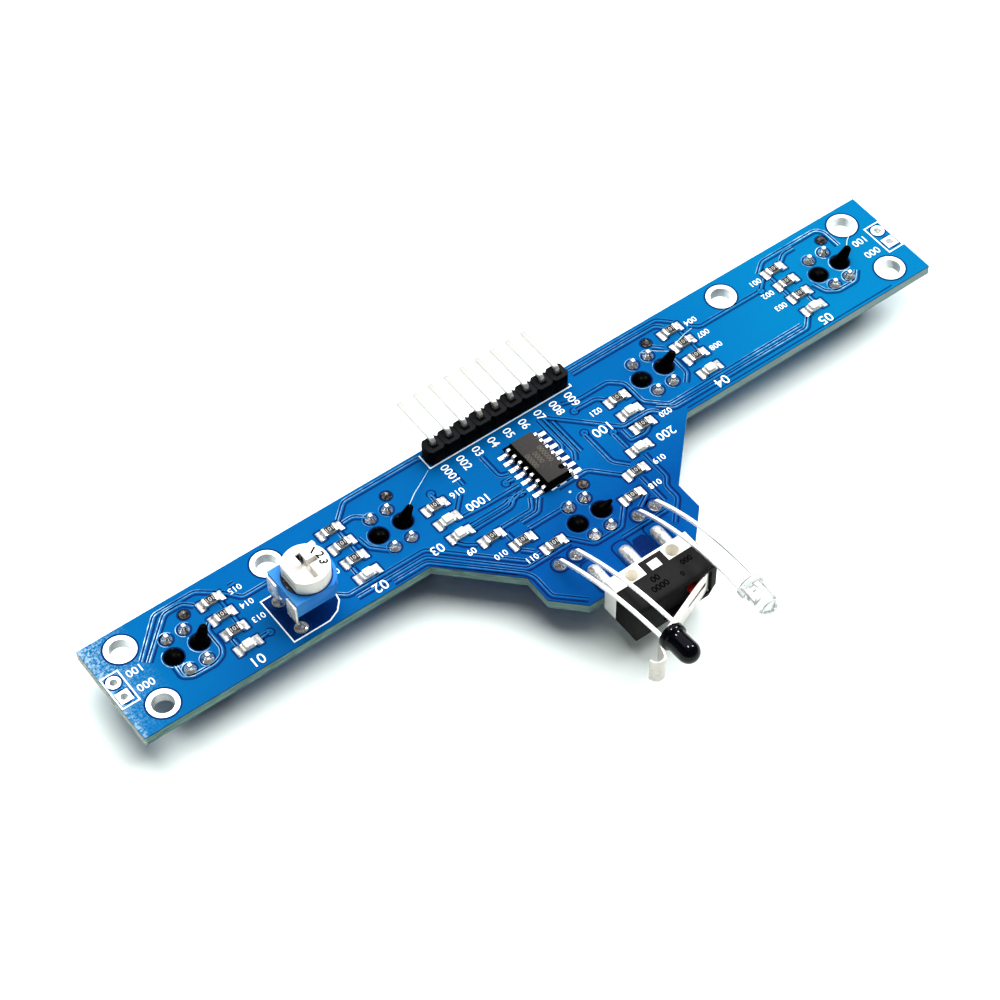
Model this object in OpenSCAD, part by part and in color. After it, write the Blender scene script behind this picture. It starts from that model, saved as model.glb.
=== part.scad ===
// Five-channel line follower board for a small robot: a circuit board with a row of reflective
// sensors under it, a bump switch and an infrared proximity pair on its nose, and a pin header.
//
// Frame: X runs along the arm, +Y points to the header edge, -Y to the nose, and Z rises from
// the component face of the board. The origin is the centre of the four end mounting holes.
// All sizes are in millimetres.

/* [Board] */
// Length of the arm from end to end
arm_length = 128; // [128:0.5:134]
// Width of the arm
arm_width = 16; // [16:0.5:18]
// Thickness of the circuit board
board_t = 1.6; // [1.2:0.2:1.6]
// How far the nose reaches past the arm's front edge
nose_reach = 17; // [17:0.5:19]

/* [Mounting holes] */
// Spacing of the four end holes along the arm
end_hole_dx = 118.8; // [118:0.1:119]
// Spacing of the four end holes across the arm
end_hole_dy = 10; // [9.8:0.1:10]
// Spacing of the two middle holes along the arm
mid_hole_dx = 75; // [74.8:0.1:75.2]
// Finished diameter of every mounting hole
hole_d = 3; // [2.8:0.1:3.2]
// Diameter of the copper land round each hole
land_d = 4.3; // [4:0.1:4.4]

/* [Reflective sensors] */
// Height of a sensor body under the board
sensor_h = 4.6; // [4:0.1:5]
// Distance of the outer pair from the board's centre
sensor_outer_x = 52.7; // [52:0.1:53]
// Distance of the inner pair from the board's centre
sensor_inner_x = 21.55; // [21.3:0.05:21.8]
// Centre of the nose sensor, measured forward from the arm's centre line
sensor_nose_y = 13.95; // [13.9:0.05:14]

/* [Bump switch] */
// Length of the switch body
switch_l = 12.8; // [12.6:0.1:13]
// Depth of the switch body, from its back to the plunger face
switch_d = 6.5; // [6.4:0.1:6.6]
// Thickness of the switch body
switch_h = 5.8; // [5.6:0.1:6]
// Angle of the lever at rest, away from the body
lever_rest = 21.5; // [20:0.5:22]
// Length of the lever arm, from the pivot to its rolled tip
lever_l = 14.6; // [13.5:0.1:14.8]

/* [Header] */
// Number of pins in the header
pin_count = 9; // [9:1:9]
// Distance from pin to pin
pitch = 2.54; // [2.54:0.01:2.54]
// Height of a pin's level run over the board
pin_z = 3.4; // [3.3:0.1:3.6]
// How far the pin tips reach toward +Y
pin_reach = 14; // [12:0.5:15]

/* [Trimmer] */
// Top of the trimmer's fixed body
trim_body_top = 6; // [5.8:0.1:6.2]
// Top of the trimmer's dial
trim_dial_top = 8.2; // [8:0.1:8.4]
// Radius of the dial
dial_r = 3.15; // [3:0.05:3.2]

/* [Proximity pair] */
// Height of the transmitter's axis over the board
led_z = 6; // [5.5:0.1:6.5]
// Height of the receiver's axis over the board
receiver_z = 7.3; // [7:0.1:8]
// Distance of each lens axis from the board's centre line
pair_x = 6.45; // [6.2:0.05:6.6]

/* [Hidden] */
$fn = 48;
eps = 0.02;

// Colours
blue_mask = "#1668b8";
silver = "silver";
black_plastic = "#1c1c1e";
white_plastic = "#e8e6e0";

// Board outline: half of it, mirrored about the centre line
nose_y = -arm_width / 2 - nose_reach;
nose_half = [[8.6, nose_y], [12.3, nose_y + 3.8], [12.3, nose_y + 8.1], [21, -arm_width / 2]];
half_outline = concat(nose_half, [[arm_length / 2, -arm_width / 2], [arm_length / 2, arm_width / 2]]);

// Places on the board
end_holes = [for (x = [-1, 1]) for (y = [-1, 1]) [x * end_hole_dx / 2, y * end_hole_dy / 2]];
mid_holes = [for (x = [-1, 1]) [x * mid_hole_dx / 2, end_hole_dy / 2]];
mount_holes = concat(end_holes, mid_holes);
end_pad_x = arm_length / 2 - 1.3;
sensor_at = [[-sensor_outer_x, 0], [-sensor_inner_x, 0], [0, -sensor_nose_y],
             [sensor_inner_x, 0], [sensor_outer_x, 0]];
sensor_pin = [1.3, 2.75];
peg_x = 1.92;
header_at = [-0.1, 6.3];
trimmer_at = [-36.45, -3.3];
trimmer_pins = [[-39.45, -0.85], [-39.45, -5.85], [-34.4, -3.35]];
transmitter_pads = [[5.1, -17.65], [7.8, -17.65]];
receiver_pads = [[-7.75, -17.75], [-5.15, -17.75]];

// Chip parts: four banks of three resistors along the arm, and a stair of chips on the nose
chip_step = 2.8;
bank_x = [-46.4, -28.1, 28, 46.3];
bank_y = 4.35;
resistor_at = concat(
    [for (x = bank_x) for (k = [0:2]) [x, bank_y - k * chip_step]],
    [for (k = [0:2]) [-12.1 + 2.85 * k, -9.1 - 2.83 * k]],
    [[-15, -0.65], [14.9, -0.65], [14.9, -6.25], [9.25, -11.85], [6.4, -14.75]]);
chip_led_at = [[-46.3, -4.2], [-28.1, -4.2], [28, -4.2], [46.3, -4.2],
               [-15, -3.45], [-15, -6.25], [14.9, -3.45], [12.1, -9.05]];
chip = [2, 1.25, 0.5];
chip_led_h = 0.8;
cap_l = 0.38;
pad_t = 0.04;

// Bump switch: the body straddles the board's front edge
switch_x = 0.17;
switch_z = 0.4;
switch_y = nose_y - 0.05;
front_y = switch_y - switch_d;
base_d = 2.3;
terminal_pitch = 5.08;
recess = 0.8;
recess_from = -1.8;
pivot_x = 5.45;
pivot_y = front_y + 0.6;
plunger_x = switch_x + 3.15;
plunger_r = 0.8;
lever_t = 0.3;
lever_w = 4.1;
tip_r = 1.15;
lever_gap = 0.05;

/* ---------- shared shapes ---------- */

module drill(points, r) {
    for (p = points) translate([p[0], p[1], -board_t - 1]) cylinder(r = r, h = board_t + 2);
}

module box(size, at) {
    translate([at[0] - size[0] / 2, at[1] - size[1] / 2, at[2]]) cube(size);
}

function grid(at, dx, dy) = [for (x = [-1, 1]) for (y = [-1, 1]) [at[0] + x * dx, at[1] + y * dy]];
sensor_leads_at = [for (s = sensor_at) each grid(s, sensor_pin[0], sensor_pin[1])];
pegs_at = [for (s = sensor_at) for (x = [-1, 1]) [s[0] + x * peg_x, s[1]]];
header_pins_at = [for (k = [0:pin_count - 1])
    [header_at[0] + (k - (pin_count - 1) / 2) * pitch, header_at[1]]];
pair_leads_at = concat(transmitter_pads, receiver_pads);
end_pads_at = [for (x = [-1, 1]) for (y = [-1, 1]) [x * end_pad_x, y * pitch / 2]];

/* ---------- circuit board ---------- */

lead_hole_r = 0.5;
peg_r = 0.95;
plating = 0.1;
spare_via = [2.5, 4.65];
spare_vias_at = [for (s = sensor_at) [s[0] + spare_via[0], s[1] + spare_via[1]]];
via_r = 0.45;

module circuit_board() {
    color(blue_mask) difference() {
        translate([0, 0, -board_t]) linear_extrude(board_t) board_shape();
        drill(mount_holes, hole_d / 2 + plating);
        drill(concat(sensor_leads_at, header_pins_at, pair_leads_at), lead_hole_r);
        drill(pegs_at, peg_r + 0.05);
        drill(trimmer_pins, 0.65);
        drill(end_pads_at, lead_hole_r + plating);
        drill(spare_vias_at, via_r);
    }
}

module board_shape() {
    polygon(concat(half_outline, [for (i = [len(half_outline) - 1:-1:0])
        [-half_outline[i][0], half_outline[i][1]]]));
}

// Plated barrel with a round or square land on both faces
module plated_hole(at, r, land_r, square_land = false) {
    translate([at[0], at[1], 0]) difference() {
        union() {
            for (z = [-board_t - pad_t, 0])
                if (square_land) box([2 * land_r, 2 * land_r, pad_t], [0, 0, z]);
                else translate([0, 0, z]) cylinder(r = land_r, h = pad_t);
            translate([0, 0, -board_t]) cylinder(r = r + plating, h = board_t);
        }
        translate([0, 0, -board_t - 1]) cylinder(r = r, h = board_t + 2);
    }
}

module hole_plating() {
    color(silver) for (p = mount_holes) plated_hole(p, hole_d / 2, land_d / 2);
}

// The first pad of each pair is square
module end_pads() {
    color(silver) for (p = end_pads_at)
        plated_hole(p, lead_hole_r, p[1] < 0 ? 0.9 : 0.97, p[1] < 0);
}

// Solder cone round a square or round wire, on the face given by up
module solder_cone(at, r, h, wire, up = 1) {
    base_z = up > 0 ? 0 : -board_t;
    translate([at[0], at[1], base_z]) mirror([0, 0, up > 0 ? 0 : 1]) difference() {
        union() {
            cylinder(r = r, h = 0.12);
            translate([0, 0, 0.12]) cylinder(r1 = r * 0.85, r2 = wire * 0.8, h = h - 0.12);
        }
        translate([-wire / 2, -wire / 2, -1]) cube([wire, wire, h + 2]);
    }
}

/* ---------- reflective sensors, facing down ---------- */

sensor_size = [5.8, 10.2];
window_r = 1.8;
lens_r = 1.7;
lens_top = 0.3;
lens_bottom = 0.7;
wire = 0.45;
lead_tip = 1;
peg_head_r = 1.35;
peg_head_h = 0.8;

module dome(r, h) {
    ball = (r * r + h * h) / (2 * h);
    intersection() {
        translate([0, 0, h - ball]) sphere(r = ball);
        cylinder(r = r, h = h);
    }
}

// Drawn tails of the melted pegs, one a sensor: lean, heading, length and tip radius
peg_tails = [[35, 25, 1.8, 0.6], [38, 8, 2, 0.5], [58, -8, 1.6, 0.25],
             [42, 2, 1.9, 0.6], [42, 8, 2, 0.55]];

// A locating peg through the board with its melted head
module peg(x) {
    translate([x, 0, -eps]) cylinder(r = peg_r, h = board_t + 2 * eps);
    translate([x, 0, board_t]) dome(peg_head_r, peg_head_h);
}

module peg_tail(x, tail) {
    translate([x, 0, board_t + 0.1]) rotate([0, tail[0], tail[1]]) {
        cylinder(r1 = 0.95, r2 = tail[3], h = tail[2]);
        translate([0, 0, tail[2]]) sphere(r = tail[3]);
    }
}

module sensor_housing(i) {
    at = sensor_at[i - 1];
    color(black_plastic) translate([at[0], at[1], -board_t]) {
        difference() {
            translate([-sensor_size[0] / 2, -sensor_size[1] / 2, -sensor_h])
                cube([sensor_size[0], sensor_size[1], sensor_h]);
            for (y = [-1, 1]) translate([0, y * sensor_pin[1], -sensor_h - 1])
                cylinder(r = window_r, h = sensor_h + 2);
        }
        peg(-peg_x);
        peg(peg_x);
        peg_tail(peg_x, peg_tails[i - 1]);
    }
}

// Emitter or detector: a round lens in its window, side = 1 or -1
module sensor_lens(at, side) {
    lens_h = sensor_h - lens_top - lens_bottom - lens_r;
    translate([at[0], at[1] + side * sensor_pin[1], -board_t - lens_top]) {
        translate([0, 0, -lens_h]) cylinder(r = lens_r, h = lens_h);
        translate([0, 0, -lens_h]) intersection() {
            sphere(r = lens_r);
            translate([0, 0, -lens_r]) cylinder(r = lens_r, h = lens_r);
        }
    }
}

module sensor_emitter(at) {
    color("#7fa6d8") sensor_lens(at, 1);
}

module sensor_detector(at) {
    color("#26262c") sensor_lens(at, -1);
}

module sensor_leads(at) {
    color(silver) for (p = grid(at, sensor_pin[0], sensor_pin[1]))
        box([wire, wire, board_t + lens_top + lead_tip], [p[0], p[1], -board_t - lens_top]);
}

/* ---------- solder ---------- */

terminals_x = [for (k = [-1:1]) switch_x + k * terminal_pitch];
terminal_t = 0.5;
terminal_w = 1;
terminal_tip_y = nose_y + 4.1;
blob_r = 0.82;

// Solder over a flat terminal that lies on its pad
module terminal_blob(x) {
    blob_l = 3.7;
    difference() {
        intersection() {
            translate([x, terminal_tip_y - 0.3, 0]) union() {
                sphere(r = blob_r);
                rotate([90, 0, 0]) cylinder(r = blob_r, h = blob_l - 0.2);
            }
            translate([x - 2, nose_y, 0]) cube([4, 9, 2]);
        }
        terminal_bar(x);
    }
}

module terminal_bar(x) {
    translate([x - terminal_w / 2, switch_y - base_d - 1, switch_z - terminal_t / 2])
        cube([terminal_w, terminal_tip_y - switch_y + base_d + 1, terminal_t]);
}

// Wedge of solder from a pad up a chip's end
module chip_fillet(at, side, chip_h) {
    l = 0.85;
    rise = chip_h * 0.75;
    translate([at[0] + side * chip[0] / 2, at[1] + chip[1] / 2 + 0.1, 0]) rotate([90, 0, 0])
        linear_extrude(chip[1] + 0.2)
            polygon([[0, 0], [side * l, 0], [side * l, pad_t], [side * 0.35, rise * 0.35], [0, rise]]);
}

// Via filled with solder, flush below because a sensor sits on it
module filled_via(at) {
    translate([at[0], at[1], -board_t]) cylinder(r = via_r, h = board_t + pad_t);
    translate([at[0], at[1], 0]) cylinder(r = 0.75, h = pad_t);
}

module square_pad(at, size, wire) {
    difference() {
        box([size[0], size[1], pad_t], [at[0], at[1], 0]);
        box([wire, wire, 1], [at[0], at[1], -0.5]);
    }
}

module solder_joints() {
    color(silver) {
        for (p = sensor_leads_at) solder_cone(p, 0.8, 0.75, wire);
        for (p = pair_leads_at) {
            solder_cone(p, 0.85, 0.5, wire);
            solder_cone(p, 0.85, 0.75, wire, -1);
        }
        square_pad(transmitter_pads[0], [1.6, 1.9], wire);
        for (p = header_pins_at) solder_cone(p, 0.85, 0.8, pin_w, -1);
        for (p = trimmer_pins) {
            solder_cone(p, 0.95, 0.35, leg_w, 1);
            solder_cone(p, 0.95, 0.75, leg_w, -1);
        }
        for (x = terminals_x) terminal_blob(x);
        for (p = chip_led_at) for (side = [-1, 1]) chip_fillet(p, side, chip_led_h);
        for (p = spare_vias_at) filled_via(p);
    }
}

/* ---------- pin header ---------- */

pin_w = 0.64;
header_h = 2.54;
unit_chamfer = 0.42;
pin_bend = 0.55;
pin_tail = 1.3;

// One long edge of the housing, notched between the units; side = -1 front, 1 back
function notched_edge(side) = [for (k = [0:pin_count - 1]) for (p = [0:2])
    let (x0 = (k - pin_count / 2) * pitch, y = side * pitch / 2)
    p == 0 ? [x0 + unit_chamfer, y]
    : p == 1 ? [x0 + pitch - unit_chamfer, y]
    : [x0 + pitch, y - side * unit_chamfer]];

function reversed(v) = [for (i = [len(v) - 1:-1:0]) v[i]];

module header_body() {
    end_x = pin_count * pitch / 2;
    start = pitch / 2 - unit_chamfer;
    color(black_plastic) difference() {
        translate([header_at[0], header_at[1], 0]) linear_extrude(header_h)
            polygon(concat([[-end_x, -start]], notched_edge(-1), reversed(notched_edge(1)),
                           [[-end_x, start]]));
        for (p = header_pins_at) box([pin_w, pin_w, header_h + 2], [p[0], p[1], -1]);
    }
}

// Side view of a pin: y and z, from its tail up, round the bend and out to its tip
module pin_profile() {
    h = pin_w / 2;
    chamfer = 0.16;
    bend_z = pin_z - pin_bend;
    reach = pin_reach - header_at[1];
    tail_z = -board_t - pin_tail;
    polygon([[-h, tail_z + chamfer], [-h + chamfer, tail_z], [h - chamfer, tail_z],
             [h, tail_z + chamfer], [h, bend_z], [-h, bend_z]]);
    translate([pin_bend, bend_z]) difference() {
        circle(r = pin_bend + h);
        circle(r = pin_bend - h);
        translate([-5, -10]) square([10, 10]);
        translate([0, -5]) square([10, 10]);
    }
    polygon([[pin_bend, pin_z - h], [reach - chamfer, pin_z - h], [reach, pin_z - h + chamfer],
             [reach, pin_z + h - chamfer], [reach - chamfer, pin_z + h], [pin_bend, pin_z + h]]);
}

module header_pins() {
    color("#d8d2b8") for (p = header_pins_at) translate([p[0] - pin_w / 2, p[1], 0])
        rotate([90, 0, 90]) linear_extrude(pin_w) pin_profile();
}

/* ---------- comparator chip ---------- */

ic_at = [0, -3.2];
ic_size = [3.9, 8.65, 1.6];
ic_inset = 0.28;
ic_standoff = 0.12;
ic_pitch = 1.27;
ic_foot = 3.05;
ic_lead_z = 0.8;

module ic_body() {
    half_w = ic_size[0] / 2;
    half_l = ic_size[1] / 2;
    color("#3c3c40") translate([ic_at[0], ic_at[1], 0]) intersection() {
        translate([0, half_l, 0]) rotate([90, 0, 0]) linear_extrude(ic_size[1])
            polygon(bevelled(half_w));
        translate([-half_w, 0, 0]) rotate([90, 0, 90]) linear_extrude(ic_size[0])
            polygon(bevelled(half_l));
    }
}

// Half width at the lead line, drawn in above and below it
function bevelled(half) = [[-half + ic_inset, ic_standoff], [half - ic_inset, ic_standoff],
    [half, ic_lead_z - 0.1], [half, ic_lead_z + 0.1], [half - ic_inset, ic_size[2]],
    [-half + ic_inset, ic_size[2]], [-half, ic_lead_z + 0.1], [-half, ic_lead_z - 0.1]];

module ic_lead(side) {
    t = 0.2;
    inner = ic_size[0] / 2;
    rotate([90, 0, 0]) mirror([side > 0 ? 0 : 1, 0, 0]) linear_extrude(0.42) polygon([
        [inner, ic_lead_z - t / 2], [inner + 0.35, ic_lead_z - t / 2], [inner + 0.5, pad_t],
        [ic_foot, pad_t], [ic_foot, pad_t + t], [inner + 0.65, pad_t + t],
        [inner + 0.48, ic_lead_z + t / 2], [inner, ic_lead_z + t / 2]]);
}

module ic_leads() {
    color(silver) for (side = [-1, 1]) for (k = [-3:3])
        translate([ic_at[0], ic_at[1] + k * ic_pitch + 0.21, 0]) {
            ic_lead(side);
            translate([side * 3.05, -0.21, pad_t / 2]) cube([1.6, 0.6, pad_t], center = true);
        }
}

/* ---------- chip resistors and status lights ---------- */

module resistor_bodies() {
    color(black_plastic) for (p = resistor_at)
        box([chip[0] - 2 * cap_l, chip[1], chip[2]], [p[0], p[1], pad_t]);
}

module resistor_caps() {
    color(silver) for (p = resistor_at) for (side = [-1, 1]) {
        box([cap_l, chip[1] + 0.02, chip[2] + 0.02 + pad_t],
            [p[0] + side * (chip[0] - cap_l) / 2, p[1], 0]);
        chip_fillet(p, side, chip[2]);
    }
}

module status_led(p) {
    color("#efe9cf") {
        box([chip[0], chip[1], 0.35], [p[0], p[1], pad_t]);
        box([chip[0] - 0.7, chip[1] - 0.1, chip_led_h - pad_t], [p[0], p[1], pad_t]);
    }
}

/* ---------- trimmer ---------- */

trim_flat_x = -3.7;
trim_half_y = 3.33;
trim_round_r = 3.8;
trim_body_bottom = 3.5;
trim_boss_r = 1.8;
trim_boss_bottom = 2.6;
dial_recess = 0.8;
dial_gap = 0.1;
shaft_r = 1.2;
running = 0.05;
track_t = 0.15;
wiper_t = 0.12;
leg_w = 0.8;
leg_t = 0.3;
leg_top = 5.5;
recess_z = trim_body_top - dial_recess;
dial_z = recess_z + track_t + wiper_t + 0.03;

module at_trimmer() {
    translate([trimmer_at[0], trimmer_at[1], 0]) children();
}

module trimmer_body() {
    color("#2f7fd0") at_trimmer() difference() {
        union() {
            translate([0, 0, trim_body_bottom]) linear_extrude(trim_body_top - trim_body_bottom)
                union() {
                    translate([trim_flat_x, -trim_half_y]) square([-trim_flat_x, 2 * trim_half_y]);
                    intersection() {
                        circle(r = trim_round_r);
                        translate([0, -trim_half_y]) square([5, 2 * trim_half_y]);
                    }
                }
            translate([0, 0, trim_boss_bottom]) cylinder(r = trim_boss_r, h = 1);
        }
        translate([0, 0, recess_z]) cylinder(r = dial_r + dial_gap, h = 2);
        translate([0, 0, trim_boss_bottom - 1]) cylinder(r = shaft_r + running, h = 6);
    }
}

module trimmer_track() {
    color("#3a3028") at_trimmer() translate([0, 0, recess_z]) difference() {
        cylinder(r = dial_r - 0.1, h = track_t);
        translate([0, 0, -1]) cylinder(r = shaft_r + 0.5, h = 3);
    }
}

module trimmer_wiper() {
    color("#c8a860") at_trimmer() translate([0, 0, dial_z - wiper_t]) difference() {
        union() {
            cylinder(r = shaft_r + 0.7, h = wiper_t);
            translate([0, -0.4, 0]) cube([dial_r - 0.4, 0.8, wiper_t]);
        }
        translate([0, 0, -1]) cylinder(r = shaft_r, h = 3);
    }
}

dial_flat = 2.65;
dial_window = [0.7, 3, 0.6];
dial_slot_w = 0.75;
dial_slot_d = 1.1;
pointer_turn = 43;

module trimmer_dial() {
    color(white_plastic) at_trimmer() {
        difference() {
            translate([0, 0, dial_z]) union() {
                cylinder(r = dial_r, h = trim_dial_top - dial_z);
                rotate(pointer_turn) translate([0, 0, trim_body_top + 0.3 - dial_z])
                    linear_extrude(trim_dial_top - trim_body_top - 0.3)
                        polygon([[dial_r - 0.3, -0.7], [dial_r + 0.6, 0], [dial_r - 0.3, 0.7]]);
            }
            translate([-dial_flat - 5, -5, trim_body_top]) cube([5, 10, 5]);
            translate([-dial_flat - 0.1, -1.65, trim_body_top + 0.5]) cube(dial_window);
            translate([0, 0, trim_dial_top - dial_slot_d / 2]) {
                translate([0, -0.3, 0.5]) cube([dial_slot_w, 4.4, dial_slot_d + 1], center = true);
                translate([0, 0, 0.5]) cube([3.4, dial_slot_w, dial_slot_d + 1], center = true);
            }
        }
        // Shaft with its retaining lip under the boss
        translate([0, 0, trim_boss_bottom - 0.5]) cylinder(r = shaft_r, h = dial_z - trim_boss_bottom + 0.5);
        translate([0, 0, trim_boss_bottom - 0.5]) cylinder(r = shaft_r + 0.4, h = 0.4);
    }
}

// Flat leg down the outside of the body, drawn in to a narrow tail through the board
module side_leg(pin, top_y) {
    wide = 2;
    wall_x = trimmer_at[0] + trim_flat_x;
    shoulder_z = 2.4;
    translate([wall_x - leg_t, top_y - wide / 2, shoulder_z]) cube([leg_t, wide, leg_top - shoulder_z]);
    hull() {
        translate([wall_x - leg_t, top_y - wide / 2, shoulder_z]) cube([leg_t, wide, 0.01]);
        translate([pin[0] - leg_t / 2, pin[1] - leg_w / 2, 0.6]) cube([leg_t, leg_w, 0.01]);
    }
    translate([pin[0] - leg_t / 2, pin[1] - leg_w / 2, -board_t - 0.9])
        cube([leg_t, leg_w, board_t + 0.9 + 0.6 + 0.005]);
}

module trimmer_legs() {
    color(silver) {
        side_leg(trimmer_pins[0], trimmer_pins[0][1] - 0.3);
        side_leg(trimmer_pins[1], trimmer_pins[1][1] + 0.3);
        translate([trimmer_pins[2][0] - leg_t / 2, trimmer_pins[2][1] - leg_w / 2, -board_t - 0.9])
            cube([leg_t, leg_w, trim_body_bottom + board_t + 0.9]);
    }
}

/* ---------- bump switch ---------- */

wall = 0.8;
tab = [3.6, 1.95, 0.5];
tab_x = 0.2;
post = [1.6, 1.3];
post_at = [switch_x + 0.15, switch_y - base_d + post[1] / 2];
hole_x = 3.25;
hole_y = switch_y - 1.3;
switch_hole_r = 0.95;
half_l = switch_l / 2;
half_h = switch_h / 2;
cheek = 0.65;
bevel = [0.5, 0.35];
end_wall = 0.75;
pin_r = 0.3;
pin_half = half_h - 0.2;
cavity_back = switch_y - base_d;
cavity_front = front_y + recess + wall;
blade_y = cavity_back - 0.7;
blade_t = 0.15;
plunger_travel = 0.55;

module switch_tabs() {
    for (z = [switch_z + half_h - tab[2], switch_z - half_h])
        translate([switch_x + tab_x - tab[0] / 2, cavity_back, z]) cube(tab);
}

module switch_base() {
    color(white_plastic) difference() {
        union() {
            difference() {
                translate([switch_x - half_l, cavity_back, switch_z - half_h])
                    cube([switch_l, base_d, switch_h]);
                for (x = [-1, 1]) translate([switch_x + x * hole_x, hole_y, switch_z - half_h - 1])
                    cylinder(r = switch_hole_r, h = switch_h + 2);
                switch_tabs();
            }
            box([post[0], post[1], switch_h], [post_at[0], post_at[1], switch_z - half_h]);
        }
        for (x = terminals_x) terminal_bar(x);
    }
}

module switch_cover() {
    left = switch_x - half_l;
    bottom = switch_z - half_h;
    color(black_plastic) difference() {
        union() {
            translate([left, front_y, bottom]) cube([switch_l, switch_d - base_d, switch_h]);
            switch_tabs();
        }
        // Bevel along the upper front edge
        translate([left - 1, front_y, switch_z + half_h]) rotate([90, 0, 90])
            linear_extrude(switch_l + 2) polygon([[-1, 1], [-1, -0.7], [0, -bevel[1]], [bevel[0], 0], [1, 1]]);
        // Cavity for the contacts
        translate([left + wall, cavity_front, bottom + wall])
            cube([switch_l - 2 * wall, cavity_back - cavity_front + 1, switch_h - 2 * wall]);
        // Recess in front that the lever swings in, between two cheeks that carry its pin
        translate([recess_from, front_y - 1, bottom + cheek])
            cube([half_l + switch_x - end_wall - recess_from, recess + 1, switch_h - 2 * cheek]);
        // Chamfered lower corner of the pivot end
        translate([left + switch_l, front_y - 1, bottom]) rotate([-90, 0, 0])
            linear_extrude(recess + 1) polygon([[-1.1, 1], [-1.1, 0], [0.1, -1.85], [1, 1]]);
        box([post[0], post[1], switch_h + 2], [post_at[0], post_at[1], bottom - 1]);
        translate([plunger_x, cavity_front + 1, switch_z]) rotate([90, 0, 0])
            cylinder(r = plunger_r + running, h = wall + 2);
        // Blind holes in the cheeks for the lever's pin
        translate([pivot_x, pivot_y, switch_z - pin_half - running])
            cylinder(r = pin_r + running, h = 2 * (pin_half + running));
    }
}

module switch_terminal(x) {
    color(silver) difference() {
        terminal_bar(x);
        translate([x - 2, front_y, -5]) cube([4, blade_y - front_y, 10]);
    }
}

// Contact spring on the common terminal, reaching along the cavity behind the plunger
module switch_blade() {
    color("#c8a860") translate([terminals_x[0] - 0.4, blade_y - blade_t, switch_z - 1])
        cube([2 * terminal_pitch + 0.2, blade_t, 2]);
}

module switch_plunger() {
    dome_h = 0.35;
    flange = 0.4;
    dome_ball = (plunger_r * plunger_r + dome_h * dome_h) / (2 * dome_h);
    tip_y = pivot_y - (pivot_x - plunger_x) * tan(lever_rest)
        + dome_ball * (1 / cos(lever_rest) - 1) + lever_gap;
    stem = cavity_front - tip_y - dome_h;
    pusher = blade_y - blade_t - plunger_travel - cavity_front;
    color("red") translate([plunger_x, cavity_front, switch_z]) rotate([90, 0, 0]) {
        translate([0, 0, -flange - lever_gap]) cylinder(r = plunger_r + 0.35, h = flange);
        translate([0, 0, -flange - lever_gap]) cylinder(r = plunger_r, h = stem + flange + lever_gap);
        translate([0, 0, -pusher]) cylinder(r = 0.5, h = pusher);
        translate([0, 0, stem]) dome(plunger_r, dome_h);
    }
}

// Lever plate seen along its pin: x runs along the arm from the pin, y points away from the body
module lever_profile() {
    translate([-0.1, 0]) square([lever_l + 0.1, lever_t]);
    translate([lever_l, tip_r]) difference() {
        circle(r = tip_r);
        circle(r = tip_r - lever_t);
        rotate(160) square([5, 5]);
        rotate(180) square([5, 5]);
    }
}

module switch_lever() {
    slot = [4.4, 0.9];
    color(silver) translate([pivot_x, pivot_y, switch_z]) rotate(180 + lever_rest) {
        difference() {
            translate([0, 0, -lever_w / 2]) linear_extrude(lever_w) lever_profile();
            translate([0.6, -1, -slot[1] / 2]) cube([slot[0], 3, slot[1]]);
        }
        translate([0, 0, -pin_half]) cylinder(r = pin_r, h = 2 * pin_half);
    }
}

/* ---------- proximity pair ---------- */

lens_body_r = 1.5;
flange_r = 1.85;
flange_t = 1;
lens_body_l = 5.05;
transmitter_back = -37.6;
receiver_back = -38.2;
transmitter_tilt = -3;
receiver_tilt = 5;

// A 3 mm lens pointing along -Y and raised by its tilt, its flange flat toward +X
module round_lens(at_x, back_y, axis_z, tilt) {
    translate([at_x, back_y, axis_z]) rotate([90 - tilt, 0, 0]) {
        difference() {
            cylinder(r = flange_r, h = flange_t);
            translate([lens_body_r + 0.05, -3, -1]) cube([2, 6, 4]);
        }
        cylinder(r = lens_body_r, h = lens_body_l - lens_body_r);
        translate([0, 0, lens_body_l - lens_body_r]) sphere(r = lens_body_r);
    }
}

module ir_transmitter() {
    color("#dfe6ea") round_lens(pair_x, transmitter_back, led_z, transmitter_tilt);
}

module ir_receiver() {
    color(black_plastic) round_lens(-pair_x, receiver_back, receiver_z, receiver_tilt);
}

// Lead from under the board, up through its hole, round a tight bend, and along a long arc that
// meets the lens at its tilt. Drawn in the plane of Y and Z, with x pointing along -Y.
module arched_lead(pad, back_y, axis_z, tilt) {
    h = wire / 2;
    bend_r = 0.8;
    rise_z = 0.6;
    lap = 2;
    run = pad[1] - back_y;
    chord_turn = atan((axis_z - rise_z - bend_r * 0.8) / (run - bend_r * 0.4));
    start_turn = 2 * chord_turn - tilt;
    x1 = bend_r * (1 - sin(start_turn));
    z1 = rise_z + bend_r * cos(start_turn);
    turn = (start_turn - tilt) / 2;
    mean = (start_turn + tilt) / 2;
    big_r = (axis_z - z1) / (2 * sin(turn) * sin(mean));
    x2 = x1 + 2 * big_r * sin(turn) * cos(mean);
    translate([pad[0] - h, pad[1], 0]) rotate([90, 0, -90]) translate([0, 0, -wire])
        linear_extrude(wire) union() {
            translate([-h, -board_t - 0.9]) square([wire, board_t + 0.9 + rise_z]);
            translate([bend_r, rise_z]) arc_band(bend_r, h, 90 + start_turn, 180 + lap);
            translate([x1 + big_r * sin(start_turn), z1 - big_r * cos(start_turn)])
                arc_band(big_r, h, 90 + tilt, 90 + start_turn + lap / 10);
            translate([x2, axis_z]) rotate(tilt)
                translate([-eps, -h]) square([max(run - x2, 0) + eps, wire]);
        }
}

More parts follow.
